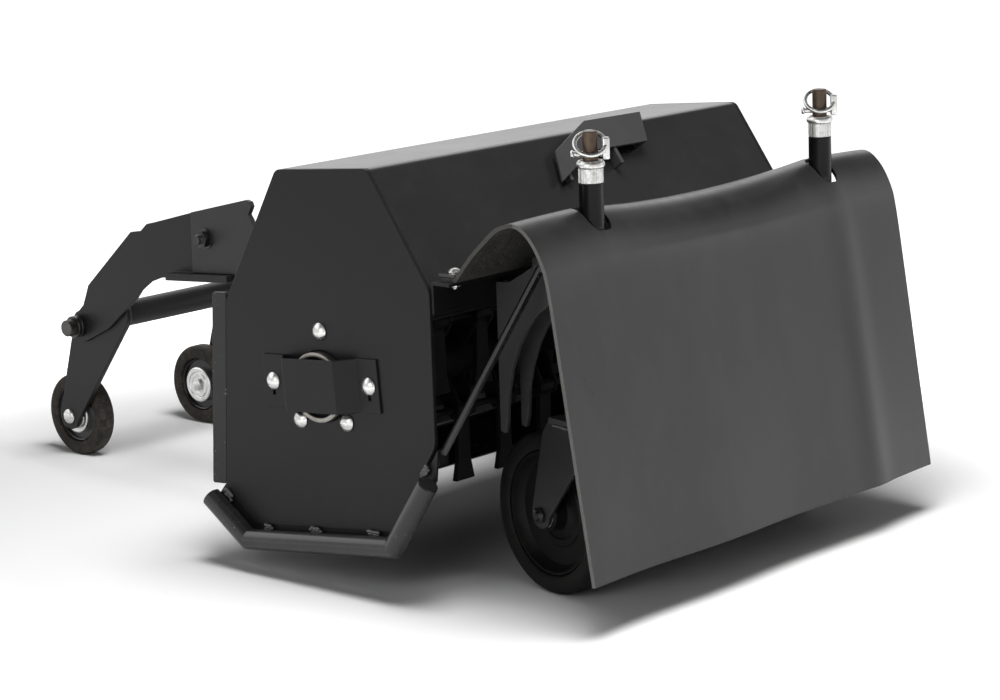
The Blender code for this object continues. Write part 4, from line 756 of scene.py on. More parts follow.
# %% Caster wheels
WHEEL_STEPS = 96
CASTER_HALF = 0.022
RIM_EDGE_R = 0.080
SHOULDER_R = 0.0085
WEB_HALF = 0.0035
HUB_R = 0.022
HUB_FACE = CASTER_HALF + 0.0032
HUB_BORE_R = 0.0066


def caster_wheel(side):
    joint = joints[side + "_caster_roll"]
    spot = (joint["pos_m"], joint["axis"])
    body = side + "_caster_wheel"
    radius, half, edge = joint["pos_m"][2], CASTER_HALF, RIM_EDGE_R
    tyre = [(edge, -half + 0.0032), (edge + 0.0022, -half + 0.0008), (edge + 0.008, -half)]
    tyre += arc((radius - SHOULDER_R, -half + SHOULDER_R), SHOULDER_R, -90, -12)
    tyre += [(radius, -0.0055), (radius, -0.0008)]
    lathed(side + "_caster_tread", body, CASTER_RUBBER, spot,
           mirrored(tyre, [(radius + 0.0005, 0)]), WHEEL_STEPS, 40, replaces=[side + "_caster_tyre"])

    bead, web = edge - 0.0008, WEB_HALF
    dish = [(bead, half - 0.0055), (bead - 0.0015, half - 0.0040), (bead - 0.0035, half - 0.0045)]
    dish += [(bead - 0.0048, half - 0.0080), (bead - 0.0080, web + 0.0045)]
    dish += [(bead - 0.0120, web + 0.0010), (0.046, web), (0.044, web + 0.0016), (0.036, web + 0.0016)]
    dish += [(0.034, web), (HUB_R + 0.005, web + 0.0006), (HUB_R + 0.0012, web + 0.003), (HUB_R, 0.012)]
    dish += [(HUB_R - 0.0005, HUB_FACE - 0.003), (HUB_R - 0.003, HUB_FACE), (HUB_BORE_R + 0.0112, HUB_FACE)]
    dish += [(HUB_BORE_R + 0.0104, HUB_FACE - 0.0016), (HUB_BORE_R, HUB_FACE - 0.0016)]
    lathed(side + "_caster_dish", body, DISH_PAINT, spot, mirrored(dish), WHEEL_STEPS, 32,
           replaces=[side + "_caster_rim"])
    for label, way in (("inner", 1), ("outer", -1)):
        ring = [(0.0088, -0.0014), (0.0090, 0.0002), (0.0155, 0.0004), (0.0172, -0.0004), (0.0172, -0.0014)]
        ring = [(reach, way * (HUB_FACE + height)) for reach, height in ring]
        lathed(f"{side}_hub_ring_{label}", body, ZINC, spot, ring, 48, 40)


for side in ("near", "far"):
    caster_wheel(side)
print("caster wheels made")

# %% [markdown]
# A bolt is two or three turned and six-sided parts: a domed or hexagonal head, a washer,
# the nut and the end of the thread. They are made once, at the origin and pointing up,
# and each copy is turned to its own direction. The thread is real rings, since bump alone
# would vanish in the exported mesh.

# %% Bolts
ORIGIN_UP = ((0, 0, 0), (0, 0, 1))
THREAD_PITCH = 0.00125
THREAD_DEPTH = 0.0006


def nut(across, height, start=0.0):
    """A hexagon nut with its corners turned off, standing on the given height."""
    bpy.ops.mesh.primitive_cylinder_add(vertices=6, radius=across / math.sqrt(3), depth=height,
                                        location=(0, 0, start + height / 2))
    piece = bpy.context.object
    with_modifier(piece, "BEVEL", width=across * 0.035, segments=2, limit_method="ANGLE")
    return piece


def dome_head(radius, height, edge=0.0012):
    """A carriage bolt's head: a low dome over a thin rim."""
    rise = height - edge
    lean = math.degrees(math.atan2(rise, radius))
    ball = (radius ** 2 + rise ** 2) / (2 * rise)
    section = [(0, 0), (radius - 0.0004, 0), (radius, 0.0004), (radius, edge)]
    section += arc((0, height - ball), ball, 90 - 2 * lean + 1, 90, 7)[:-1] + [(0, height)]
    return turned(*ORIGIN_UP, section, 32)


def washer(inner, outer, thick):
    turned_off = 0.0003
    section = [(inner, 0), (outer - turned_off, 0), (outer, turned_off), (outer, thick - turned_off),
               (outer - turned_off, thick), (inner, thick)]
    return turned(*ORIGIN_UP, section, 32, ring=True)


def threaded_end(radius, start, length):
    section = [(0, start - 0.002), (radius, start - 0.002)]
    for index in range(int(length / THREAD_PITCH)):
        height = start + index * THREAD_PITCH
        section += [(radius, height), (radius - THREAD_DEPTH, height + THREAD_PITCH / 2)]
    top = start + length + 0.0004
    return turned(*ORIGIN_UP, section + [(radius - 0.0012, top), (0, top)], 24)


def seated_nut(across, height, hole, disc, thick, thread=None, length=0.0, by_seat=False):
    """A nut on its washer, with the end of its thread where it has one.

    It is placed by the nut's middle, and so sits half sunk, or by its seat: a joined piece
    keeps the origin of its first part.
    """
    parts = [nut(across, height, thick), washer(hole, disc, thick)]
    if by_seat:
        parts.reverse()
    if thread:
        parts.append(threaded_end(thread, thick + height, length))
    return joined(parts)


def placed(pattern, name, place, direction, body, finish, spin=0.0, replaces=()):
    """A copy of a bench-made part, turned from +z to its direction and set at its place."""
    copy = copied(pattern)
    turn = Vector((0, 0, 1)).rotation_difference(Vector(direction)).to_matrix().to_4x4()
    copy.matrix_world = Matrix.Translation(place) @ turn @ Matrix.Rotation(math.radians(spin), 4, "Z")
    return finished(copy, name, body, finish, replaces, 32)


DOME = dome_head(0.0113, 0.0070)
FLAP_DOME = dome_head(0.0088, 0.0060)
BACK_NUT = seated_nut(0.0160, 0.0075, 0.005, 0.0098, 0.0014, 0.0042, 0.0035)
FLAP_NUT = seated_nut(0.0130, 0.0062, 0.0042, 0.0082, 0.0012, 0.0036, 0.0030)
patterns = [DOME, FLAP_DOME, BACK_NUT, FLAP_NUT]
print("bolt patterns:", len(patterns))

# %% [markdown]
# The rotor runs in a bearing bolted inside each end plate. Its flange has three lobes, and
# its round housing stands out through the plate with a bare turned rim. On the near end a
# folded steel guard covers the shaft's end, so the rim only shows above and below it.

# %% Bearings
rotor_axis = place_of("rotor_spin")
SIDES = {"near": -1, "far": 1}
outer_face = {"near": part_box("near_end_plate")[0].x, "far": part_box("far_end_plate")[1].x}
inner_face = {"near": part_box("near_end_plate")[1].x, "far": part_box("far_end_plate")[0].x}
SEAT_GAP = 0.0003
NOSE_RISE = 0.075
BOLT_RISE = 0.070
BOLT_DROP = 0.0445
BOLT_HALF = 0.041
LOBE_R = 0.0145
LOBE_STEPS = 8
FLANGE_T = 0.008
RIM_R = 0.0449
BORE_R = 0.0200
bearing_bolts = [(rotor_axis.y + y, rotor_axis.z + z - y * NOSE_RISE)
                 for y, z in ((0, BOLT_RISE), (BOLT_HALF, -BOLT_DROP), (-BOLT_HALF, -BOLT_DROP))]


def cut_plate(outline, x, thickness, way):
    """A flat plate of the outline in y and z, standing out from x by its thickness."""
    bpy.ops.object.select_all(action="DESELECT")
    bpy.ops.mesh.primitive_circle_add(vertices=len(outline), radius=0.01, fill_type="NGON")
    piece = bpy.context.object
    for vertex, (y, z) in zip(piece.data.vertices, outline):
        vertex.co = (x, y, z)
    edit()
    bpy.ops.mesh.select_all(action="SELECT")
    bpy.ops.mesh.extrude_region_move(TRANSFORM_OT_translate={"value": (way * thickness, 0, 0)})
    face_outwards()
    return piece


def bearing_flange(x, way):
    """A plate round the three bolts, with a round lobe at each."""
    headings = [(math.atan2(z - rotor_axis.z, y - rotor_axis.y), y, z) for y, z in bearing_bolts]
    outline = []
    for heading, y, z in sorted(headings):
        for index in range(LOBE_STEPS + 1):
            angle = heading + math.radians(-90 + 180 * index / LOBE_STEPS)
            outline.append((y + LOBE_R * math.cos(angle), z + LOBE_R * math.sin(angle)))
    flange = cut_plate(outline, x, FLANGE_T, way)
    broken_edges(flange, 0.0012, 3)
    return flange


def bearing(side):
    way = SIDES[side]
    outward = Vector((way, 0, 0))
    base = outer_face[side] + way * SEAT_GAP
    back_face = inner_face[side] - way * SEAT_GAP
    spot = ((base, rotor_axis.y, rotor_axis.z), outward)
    flange = bearing_flange(back_face, -way)
    inside = abs(base - back_face) + FLANGE_T + 0.0008
    shoulder = FLANGE_T - inside
    housing = [(BORE_R, -inside), (0.0460, -inside), (0.0472, 0.0010 - inside), (0.0472, shoulder + 0.0004)]
    housing += [(RIM_R - 0.0003, shoulder + 0.0006), (RIM_R - 0.0003, 0.0094), (0.0384, 0.0094)]
    housing += [(0.0376, 0.0072), (0.0330, 0.0066), (0.0322, 0.0100), (0.0306, 0.0106), (0.0262, 0.0106)]
    housing += [(0.0254, 0.0094), (BORE_R, 0.0094)]
    whole = joined([flange, turned(*spot, housing, ring=True)])
    finished(whole, side + "_bearing_housing", "deck", PLATE_PAINT, [side + "_bearing"], 35)
    rim = [(0.0386, 0.0092), (0.0392, 0.0104), (0.0400, 0.0107), (0.0438, 0.0107), (0.0446, 0.0102)]
    rim += [(RIM_R, 0.0092), (RIM_R, 0.0060), (RIM_R - 0.0006, 0.0060)]
    lathed(side + "_bearing_rim", "deck", RING_STEEL, spot, rim)
    lock = [(0.0180, 0.0090), (0.0246, 0.0090), (0.0246, 0.0104), (0.0238, 0.0110), (0.0180, 0.0110)]
    lathed(side + "_bearing_race", "deck", ZINC, spot, lock, 48)
    for index, (y, z) in enumerate(bearing_bolts):
        head = Vector((base, y, z))
        tail = Vector((back_face - way * (FLANGE_T - 0.0001), y, z))
        placed(DOME, f"{side}_bearing_bolt_{index + 1}", head, outward, "deck", ZINC)
        placed(BACK_NUT, f"{side}_bearing_nut_{index + 1}", tail, -outward, "deck", ZINC, 17 * index)


for side in SIDES:
    bearing(side)
print("bearings made, with", 2 * len(bearing_bolts), "bolts")

# %% [markdown]
# The guard is one strip folded like a hat: two flanges against the plate and a raised
# middle. It is drawn as a line of folds, drawn out to its height and given its thickness.
# Then a slot is cut under each bolt, and its folds are rounded.

# %% Guard
GUARD_HEIGHT = 0.068
GUARD_T = 0.003
GUARD_DEEP = 0.0205
GUARD_END, FOLD_FOOT, FOLD_TOP = 0.101, 0.0640, 0.0440
GUARD_BOLT = 0.085
GUARD_RAISED = 0.004
SLOT_DROP = 0.0075


def guard():
    tilt = math.atan(NOSE_RISE)
    along = Vector((0, math.cos(tilt), -math.sin(tilt)))
    upward = Vector((0, math.sin(tilt), math.cos(tilt)))
    middle = Vector((0, rotor_axis.y, rotor_axis.z + GUARD_RAISED))
    face = outer_face["near"] - SEAT_GAP
    deep = face - GUARD_DEEP
    line = [(-GUARD_END, face), (-FOLD_FOOT, face), (-FOLD_TOP, deep)]
    line += [(-reach, x) for reach, x in reversed(line)]
    foot = middle - upward * GUARD_HEIGHT / 2
    piece = wire([foot + along * reach + Vector((x, 0, 0)) for reach, x in line])
    bpy.ops.mesh.extrude_region_move(TRANSFORM_OT_translate={"value": upward * GUARD_HEIGHT})
    face_outwards()
    inward = sum(fold.normal.x for fold in piece.data.polygons) > 0
    with_modifier(piece, "SOLIDIFY", thickness=GUARD_T, offset=-1 if inward else 1, use_even_offset=True)
    lowest = max(vertex.co.x for vertex in piece.data.vertices)
    if lowest > face + 0.0001:
        for vertex in piece.data.vertices:
            vertex.co.x -= lowest - face
    for way in (-1, 1):
        slot = middle + along * way * GUARD_BOLT - upward * SLOT_DROP
        cut_away(piece, block((face, slot.y, slot.z), (0.03, 0.0050, 0.0210)))
    broken_edges(piece, 0.0010, 3, 25)
    finished(piece, "bearing_guard_folded", "deck", PLATE_PAINT, ["bearing_guard"])
    for label, way in (("front", -1), ("rear", 1)):
        seat = middle + along * way * GUARD_BOLT
        head = Vector((face - GUARD_T + 0.0001, seat.y, seat.z))
        tail = Vector((inner_face["near"], seat.y, seat.z))
        placed(DOME, "guard_bolt_" + label, head, (-1, 0, 0), "deck", ZINC)
        placed(BACK_NUT, "guard_nut_" + label, tail, (1, 0, 0), "deck", ZINC, 25)


guard()
print("guard folded")

# %% [markdown]
# The flap is one sheet of rubber about 5 mm thick. A clamp bar bolts its rear edge to the
# flange, it rises over the caster arms, turns over at a crest between the two stems and
# hangs almost to the ground. Such a sheet is too stiff for a cloth solver's folds, so its
# line is drawn through a few stations: flange, crest, hinge and hem.

# %% The flap's line
FLAP_T = 0.005
top_low, top_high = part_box("flap_top")
flange_low, flange_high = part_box("flap_flange")
hinge = place_of("flap_swing")
stem_x = abs(place_of("near_caster_swivel").x - rotor_axis.x)
stem_y = place_of("near_caster_swivel").y
FLAP_HALF = (top_high.x - top_low.x) / 2
FLAP_MID = (top_high.x + top_low.x) / 2
CREST_BACK = 0.053
CREST_Z = 0.4915
HEM_Z = 0.066
HEM_OUT = 0.056
HEM_SHARE = 0.62
SPAN_ROWS = 12
CREST_STATION, HINGE_STATION = 4, 7


def eased_between(before, here, there, after, t):
    """A point on the smooth curve from here to there, at t from 0 to 1."""
    out, back_in = here + (there - before) / 6, there - (after - here) / 6
    s = 1 - t
    return here * s ** 3 + out * 3 * t * s ** 2 + back_in * 3 * t * t * s + there * t ** 3


def flap_line():
    """The flap's middle line from its rear edge to its hem, as smooth points in y and z."""
    top = flange_high.z + FLAP_T / 2 + SEAT_GAP
    crest = hinge.y + CREST_BACK
    hem_y = hinge.y - HEM_OUT
    lean = (hem_y - crest + 0.052) / (HEM_Z - CREST_Z + 0.080)
    stations = [Vector(station) for station in (
        (top_high.y, top), (flange_low.y - 0.001, top), (crest + 0.066, CREST_Z - 0.045),
        (crest + 0.034, CREST_Z - 0.014), (crest, CREST_Z - 0.001), (crest - 0.024, CREST_Z - 0.014),
        (crest - 0.043, CREST_Z - 0.044), (hinge.y, hinge.z), (hinge.y - lean * 0.100, hinge.z - 0.100),
        (hinge.y - HEM_OUT * HEM_SHARE, hinge.z + (HEM_Z - hinge.z) * HEM_SHARE), (hem_y, HEM_Z),
    )]
    last = len(stations) - 1
    line = [stations[0]]
    for index in range(1, last):
        before = stations[index - 1] if index > 1 else stations[index]
        after = stations[min(index + 2, last)]
        for step in range(SPAN_ROWS):
            line.append(eased_between(before, stations[index], stations[index + 1], after, step / SPAN_ROWS))
    return line + [stations[last]]


line = flap_line()
length = sum((b - a).length for a, b in zip(line, line[1:]))
print("flap is", round(2 * FLAP_HALF, 3), "m wide and", round(length, 3), "m long")

# %% [markdown]
# A sheet held at two stems isn't the same all along its width. It sags between the stems,
# has a crease and a slight bend past the far stem, creases pressed into its ends behind
# the crest, and a hem that waves a little. Each is a small function of where the sheet is.

# %% The flap's sheet
SAG = 0.014
WAVE = 0.002
WAVE_LENGTH = 0.31
KNEE_BACK = 0.003
CREASE_OUT = 0.0035
RUMPLE = 0.0024
COLUMNS = 144


def sag_at(x, along):
    """How far the crest sinks at x; along runs from 0 at the flange to 1 at the hinge."""
    share = math.sin(math.pi * min(1, max(0, along - 0.09))) ** 2
    inside = max(0.0, 1 - (x / stem_x) ** 2)
    edge = max(0.0, (abs(x) - stem_x) / (FLAP_HALF - stem_x))
    return SAG * share * (inside + 0.25 * edge ** 2)


def knee(x, fallen):
    """How far the sheet bends back past the far stem; fallen runs from 0 at the crest to 1."""
    past = max(0.0, (x - stem_x + 0.045) / (FLAP_HALF - stem_x + 0.045))
    crease = math.exp(-((x - stem_x + 0.006) / 0.026) ** 2)
    return (KNEE_BACK * past ** 1.6 - CREASE_OUT * crease) * math.sin(math.pi / 2 * min(1.0, fallen * 1.6))


def rumple(x, along):
    """Creases pressed into the sheet's ends between the clamp and the crest."""
    near_end = max(0.0, 1 - (FLAP_HALF - abs(x)) / 0.20)
    rise = math.sin(math.pi * min(1.0, max(0.0, (along - 0.16) / 0.28))) ** 2
    coarse = math.sin(math.tau * (x / 0.047 + along * 1.9))
    fine = math.sin(math.tau * (x / 0.027 - along * 2.6))
    return RUMPLE * near_end * rise * (coarse + 0.6 * fine)


rows = len(line) - 1
hinge_row = 1 + (HINGE_STATION - 1) * SPAN_ROWS
crest_row = 1 + (CREST_STATION - 1) * SPAN_ROWS
bpy.ops.object.select_all(action="DESELECT")
bpy.ops.mesh.primitive_grid_add(x_subdivisions=COLUMNS, y_subdivisions=rows, size=1)
flap = bpy.context.object
for vertex in flap.data.vertices:
    row = round((vertex.co.y + 0.5) * rows)
    across = vertex.co.x * 2 * FLAP_HALF
    hung = max(0.0, (row - hinge_row) / (rows - hinge_row))
    fallen = max(0.0, (row - crest_row) / (rows - crest_row))
    along = min(1, row / hinge_row)
    wave = WAVE * hung ** 2 * math.sin(math.tau * across / WAVE_LENGTH + 0.6) + knee(across, fallen)
    lift = rumple(across, along) - sag_at(across, along)
    vertex.co = (FLAP_MID + across, line[row].x + wave, line[row].y + lift)
pick(flap)
edit()
face_outwards()
with_modifier(flap, "SOLIDIFY", thickness=FLAP_T, offset=0, use_even_offset=True)
print("flap has", len(flap.data.polygons), "faces before its slots")

# %% [markdown]
# Each stem comes up through a slot in the sheet, cut with a rounded box a little off the
# stem's middle. The sheet's back is a rawer rubber than its face, and its cut ends ahead of
# the crest are paler, a painted highlight along the edge, so the faces are sorted by which
# way they look from inside the bend.

# %% Flap slots and faces
SLOT_EASE = 0.0045
BACK_INDEX, HIGHLIGHT_EDGE_INDEX = 1, 2

for x, shift, wide in ((-stem_x, 0.0025, 0.0385), (stem_x, -0.0012, 0.0345)):
    cutter = block((FLAP_MID + x + shift, stem_y + shift * 1.5, CREST_Z), (wide, wide + SLOT_EASE, 0.12))
    with_modifier(cutter, "BEVEL", width=0.012, segments=6, limit_method="ANGLE")
    cut_away(flap, cutter)
finished(flap, "rubber_flap", "deck", FLAP_FACE, ["flap_top", "flap_front"], 40)
flap.data.materials.append(FLAP_BACK)
flap.data.materials.append(FLAP_EDGE_HIGHLIGHT)
core = Vector((0, stem_y + 0.06, 0.25))
behind = 0
for face in flap.data.polygons:
    look = face.center - core
    look.x = 0
    # Front cut ends take the paler rubber, a painted highlight; the rear ends take the back's rubber.
    if abs(face.normal.x) > 0.7 and abs(face.center.x - FLAP_MID) > FLAP_HALF - 0.001:
        face.material_index = HIGHLIGHT_EDGE_INDEX if face.center.y < hinge.y + CREST_BACK else BACK_INDEX
    elif face.normal.dot(look.normalized()) < -0.05:
        face.material_index = BACK_INDEX
        behind += 1
flap.parent = None
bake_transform(flap)
print("flap has", behind, "faces on its back")

# %% [markdown]
# A flat bar and five domed bolts clamp the sheet to the flange.

# %% Flap clamp
CLAMP_W = 0.026
CLAMP_T = 0.004
FLAP_BOLTS = 5
BOLT_INSET = 0.015
UNDER_FLANGE = 0.0042

clamp_low, clamp_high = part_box("flap_clamp")
clamp_y = (clamp_high.y + clamp_low.y) / 2
sheet_top = flange_high.z + FLAP_T + 2 * SEAT_GAP
bar = block((FLAP_MID, clamp_y, sheet_top + CLAMP_T / 2), (2 * FLAP_HALF, CLAMP_W, CLAMP_T))
broken_edges(bar, 0.0008, 3)
finished(bar, "flap_clamp_bar", "deck", PAINT, ["flap_clamp"])
for index in range(FLAP_BOLTS):
    x = FLAP_MID + (FLAP_HALF - BOLT_INSET) * (2 * index / (FLAP_BOLTS - 1) - 1)
    head = Vector((x, clamp_y, sheet_top + CLAMP_T - 0.0001))
    placed(FLAP_DOME, f"flap_bolt_{index + 1}", head, (0, 0, 1), "deck", ZINC)
    under = Vector((x, clamp_y, flange_high.z - UNDER_FLANGE))
    placed(FLAP_NUT, f"flap_nut_{index + 1}", under, (0, 0, -1), "deck", ZINC, 11 * index)
print("clamp bar with", FLAP_BOLTS, "bolts")

# %% [markdown]
# Above each sleeve the stem wears a ribbed zinc collar. The ribs are every other strip of
# the collar's side, pushed out a little. The stem itself is ground bar, turned down where
# it stands out of the collar.

# %% Collars and stems
RIBS = 26
RIB_STEP = math.pi / RIBS
COLLAR_R = 0.0146
COLLAR_LIP = 0.0095
STEM_R = 0.0124
STEM_END_R = 0.0094


def ribbed_collar(side):
    stem = place_of(side + "_caster_swivel")
    low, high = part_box(side + "_stem_collar")
    bottom, height = low.z, high.z - low.z
    section = [(0.0128, 0), (0.0142, 0), (COLLAR_R, 0.0006), (COLLAR_R, height - COLLAR_LIP)]
    section += [(0.0153, height - 0.0090), (0.0168, height - 0.0075), (0.0173, height - 0.0055)]
    section += [(0.0171, height - 0.0030), (0.0155, height - 0.0006), (COLLAR_R, height), (0.0128, height)]
    piece = turned((stem.x, stem.y, bottom), (0, 0, 1), section, 2 * RIBS, ring=True)
    pick(piece)
    edit()

    def on_rib(middle, normal):
        side_wall = abs(normal.z) < 0.1 and (middle.xy - stem.xy).length > 0.0138
        below = bottom + 0.001 < middle.z < bottom + height - COLLAR_LIP
        strip = int((math.atan2(middle.y - stem.y, middle.x - stem.x) + math.pi) / RIB_STEP)
        return side_wall and below and strip % 2 == 0

    choose_faces(piece, on_rib)
    bpy.ops.mesh.inset(thickness=0.0002, depth=0.0005)
    edit(False)
    finished(piece, side + "_ribbed_collar", side + "_swivel", ZINC, [side + "_stem_collar"], 30)
    return high.z - 0.0010


def turned_stem(side, shoulder):
    stem = place_of(side + "_caster_swivel")
    foot, top = (corner.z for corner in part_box(side + "_caster_stem"))
    bar = [(0, foot), (STEM_R - 0.0012, foot), (STEM_R, foot + 0.0012), (STEM_R, shoulder)]
    bar += [(STEM_END_R, shoulder + 0.0010), (STEM_END_R, top - 0.0008), (STEM_END_R - 0.0008, top), (0, top)]
    lathed(side + "_turned_stem", side + "_swivel", STEM_BAR, ((stem.x, stem.y, 0), (0, 0, 1)),
           bar, 48, ring=False, replaces=[side + "_caster_stem"])


print("a collar has", RIBS, "ribs")

# %% [markdown]
# A lock pin passes through the stem, and a wire ring that folds over the stem's end keeps
# it there. Pin, ring and the lug between them are one piece.

# %% Lock pins
RING_R = 0.0187
WIRE_R = 0.0027
RING_TILT = math.radians(42)
RING_DROP = 0.0154
PIN_HEADING = math.radians(-48)
PIN_DROP = 0.0275
LUG_SIZE = (0.0090, 0.0100, 0.0270)
LUG_RAISED = 0.0062


def lock_pin(side):
    stem = place_of(side + "_caster_swivel")
    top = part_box(side + "_caster_stem")[1].z
    across = Vector((math.cos(PIN_HEADING), math.sin(PIN_HEADING), 0))
    toward = Vector((across.y, -across.x, 0))
    tilt = toward * math.cos(RING_TILT) - Vector((0, 0, 1)) * math.sin(RING_TILT)
    bpy.ops.mesh.primitive_torus_add(major_radius=RING_R, minor_radius=WIRE_R, major_segments=48,
                                     minor_segments=12)
    ring = bpy.context.object
    turn = Matrix((across, tilt, across.cross(tilt).normalized())).transposed().to_4x4()
    ring.matrix_world = Matrix.Translation((stem.x, stem.y, top - RING_DROP)) @ turn
    bpy.ops.object.transform_apply(location=True, rotation=True, scale=True)
    section = [(0, 0.0205), (0.0030, 0.0205), (0.0035, 0.0200), (0.0035, -0.0195), (0.0048, -0.0205)]
    section += [(0.0050, -0.0222), (0.0040, -0.0236), (0, -0.0240)]
    level_point = Vector((stem.x, stem.y, top - PIN_DROP))
    pin = turned(level_point, across, section, 24)
    lug = block(level_point + across * RING_R + Vector((0, 0, LUG_RAISED)), LUG_SIZE, PIN_HEADING)
    with_modifier(lug, "BEVEL", width=0.0022, segments=4, limit_method="ANGLE")
    whole = joined([pin, ring, lug])
    finished(whole, side + "_ring_pin", side + "_swivel", ZINC, [side + "_lock_pin"], 35)


for side in SIDES:
    turned_stem(side, ribbed_collar(side))
    lock_pin(side)
print("collars, stems and lock pins made")

# %% [markdown]
# Each fork turns on a ball race under the spacers: two bright pressed rings with a dark
# gap between them. The axle bolt holds the wheel with a plain hexagon head and a nut.

# %% Races and caster axles
RACE_HEIGHT = 0.0100
LEG_GAP = 0.004
LEG_T = 0.005
HALF_TRACK = CASTER_HALF + LEG_GAP + LEG_T
AXLE_R = 0.0060
AXLE_HEAD = seated_nut(0.0190, 0.0065, 0.006, 0.0116, 0.0016)
AXLE_NUT = seated_nut(0.0190, 0.0080, 0.006, 0.0116, 0.0016, 0.0056, 0.0030)
patterns += [AXLE_HEAD, AXLE_NUT]


def fork_race(side):
    stem = place_of(side + "_caster_swivel")
    ring = [(0.0262, 0), (0.0282, 0.0006), (0.0290, 0.0022), (0.0290, RACE_HEIGHT - 0.0022),
            (0.0282, RACE_HEIGHT - 0.0006), (0.0262, RACE_HEIGHT)]
    for label, start in (("upper", 0.0035), ("lower", -0.0130)):
        lathed(f"{side}_race_{label}", side + "_swivel", ZINC,
               ((stem.x, stem.y, crown_top(side) + start), (0, 0, 1)), ring, smooth=40)


def caster_axle(side):
    joint = joints[side + "_caster_roll"]
    centre, axis = Vector(joint["pos_m"]), Vector(joint["axis"]).normalized()
    face = HALF_TRACK + SEAT_GAP
    body = side + "_swivel"
    placed(AXLE_HEAD, side + "_axle_head", centre + axis * face, axis, body, BLACK_BOLT, 12,
           [side + "_caster_axle"])
    placed(AXLE_NUT, side + "_axle_nut", centre - axis * face, -axis, body, BLACK_BOLT, 4)
    lathed(side + "_axle_shank", body, ZINC, (centre, axis), rod_section(AXLE_R, -face, face), 24,
           ring=False)


for side in SIDES:
    fork_race(side)
    caster_axle(side)
print("races and axles made")

# %% [markdown]
# The two rear wheels are small solid castors with plain sides and a wide bright hub. The
# tread is worn round at its edges. A deep dark groove lies between tyre and hub.

# %% Rear wheels
TREAD_R = 0.006
BUTTON_HEIGHT = 0.0052
HUB_CLIP = nut(0.0175, 0.0055)
patterns.append(HUB_CLIP)


def rear_wheel(side):
    centre = place_of(side + "_rear_wheel_roll")
    spot = (centre, Vector((SIDES[side], 0, 0)))
    body = side + "_rear_wheel"
    low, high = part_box(side + "_rear_tyre")
    half, radius = (high.x - low.x) / 2, centre.z
    tyre = [(0.042, -half + 0.003), (0.0435, -half + 0.0006), (0.0470, -half), (radius - TREAD_R, -half)]
    tyre += arc((radius - TREAD_R, -half + TREAD_R), TREAD_R, -80, -8) + [(radius, -0.003)]
    lathed(side + "_rear_tread", body, REAR_RUBBER, spot, mirrored(tyre), 72, 40,
           replaces=[side + "_rear_tyre"])
    rim = [(0.0412, 0.0085), (0.0400, 0.0092), (0.0386, 0.0080), (0.0380, 0.0045), (0.0290, 0.0040)]
    lathed(side + "_rear_rim", body, BLACK_BOLT, spot, mirrored(rim))
    face = half + 0.0015
    hub = [(0.0064, face - 0.0012), (0.0125, face - 0.0012), (0.0135, face - 0.0004), (0.0190, face - 0.0002)]
    hub += [(0.0200, face - 0.0012), (0.0212, face - 0.0002), (0.0262, face), (0.0278, face - 0.0012)]
    hub += [(0.0282, face - 0.0040), (0.0290, 0.0050)]
    lathed(side + "_rear_hub_disc", body, HUB_METAL, spot, mirrored(hub), smooth=30,
           replaces=[side + "_rear_hub"])


def tip_and_tail(node, way):
    """The x of a cross bolt's outer and inner ends."""
    low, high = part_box(node)
    return (low.x, high.x) if way < 0 else (high.x, low.x)


def rear_axle(side):
    centre = place_of(side + "_rear_wheel_roll")
    way = SIDES[side]
    outward = Vector((way, 0, 0))
    tip, tail = tip_and_tail(side + "_rear_axle", way)
    outer = tip - way * BUTTON_HEIGHT
    seat = (outer, centre.y, centre.z)
    button = [(0, BUTTON_HEIGHT), (0.0055, 0.0050), (0.0092, 0.0040), (0.0112, 0.0020), (0.0115, 0.0004)]
    button += [(0.0112, 0), (0, 0)]
    lathed(side + "_rear_axle_head", "rear_carrier", ZINC, (seat, outward), button, 40, 40, False,
           [side + "_rear_axle"])
    lathed(side + "_rear_axle_shank", "rear_carrier", ZINC, (seat, -outward),
           rod_section(AXLE_R, 0, abs(outer - tail) - 0.004), 24, ring=False)
    placed(HUB_CLIP, side + "_rear_axle_nut", Vector((tail + way * 0.0060, centre.y, centre.z)), -outward,
           "rear_carrier", ZINC, 8)


for side in SIDES:
    rear_wheel(side)
    rear_axle(side)
print("rear wheels made")

# %% [markdown]
# The hitch has two kinds of black bolts: one ties each arm to its bracket, with its thread
# standing out past the nut, and one is the pivot of the wheel carrier, with a thick collar
# and a plain cut end.

# %% Hitch bolts
HITCH_NUT = seated_nut(0.0215, 0.0085, 0.0080, 0.0150, 0.0018, 0.0076, 0.0072, by_seat=True)
HITCH_HEAD = nut(0.0215, 0.0085)
PIVOT_NUT = nut(0.0240, 0.0095)
HITCH_REACH = 0.018
PIVOT_REACH = 0.026
patterns += [HITCH_NUT, HITCH_HEAD, PIVOT_NUT]


def cross_bolt(side, node, reach):
    """A cross bolt's seat, which its outer end stands out from by a reach, its tail and its direction."""
    way = SIDES[side]
    low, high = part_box(side + node)
    tip, tail = tip_and_tail(side + node, way)
    middle = (low + high) / 2
    seat = Vector((tip - way * reach, middle.y, middle.z))
    return seat, Vector((tail, middle.y, middle.z)), Vector((way, 0, 0))


def hitch_bolt(side):
    seat, tail, outward = cross_bolt(side, "_hitch_bolt", HITCH_REACH)
    placed(HITCH_NUT, side + "_hitch_nut", seat, outward, "deck", BLACK_BOLT, 10,
           [side + "_hitch_bolt"])
    placed(HITCH_HEAD, side + "_hitch_bolt_head", tail + outward * 0.009, -outward, "deck", BLACK_BOLT,
           20)
    lathed(side + "_hitch_shank", "deck", BLACK_BOLT, (seat, -outward),
           rod_section(0.0079, 0, (seat - tail).length - 0.008), 24, ring=False)


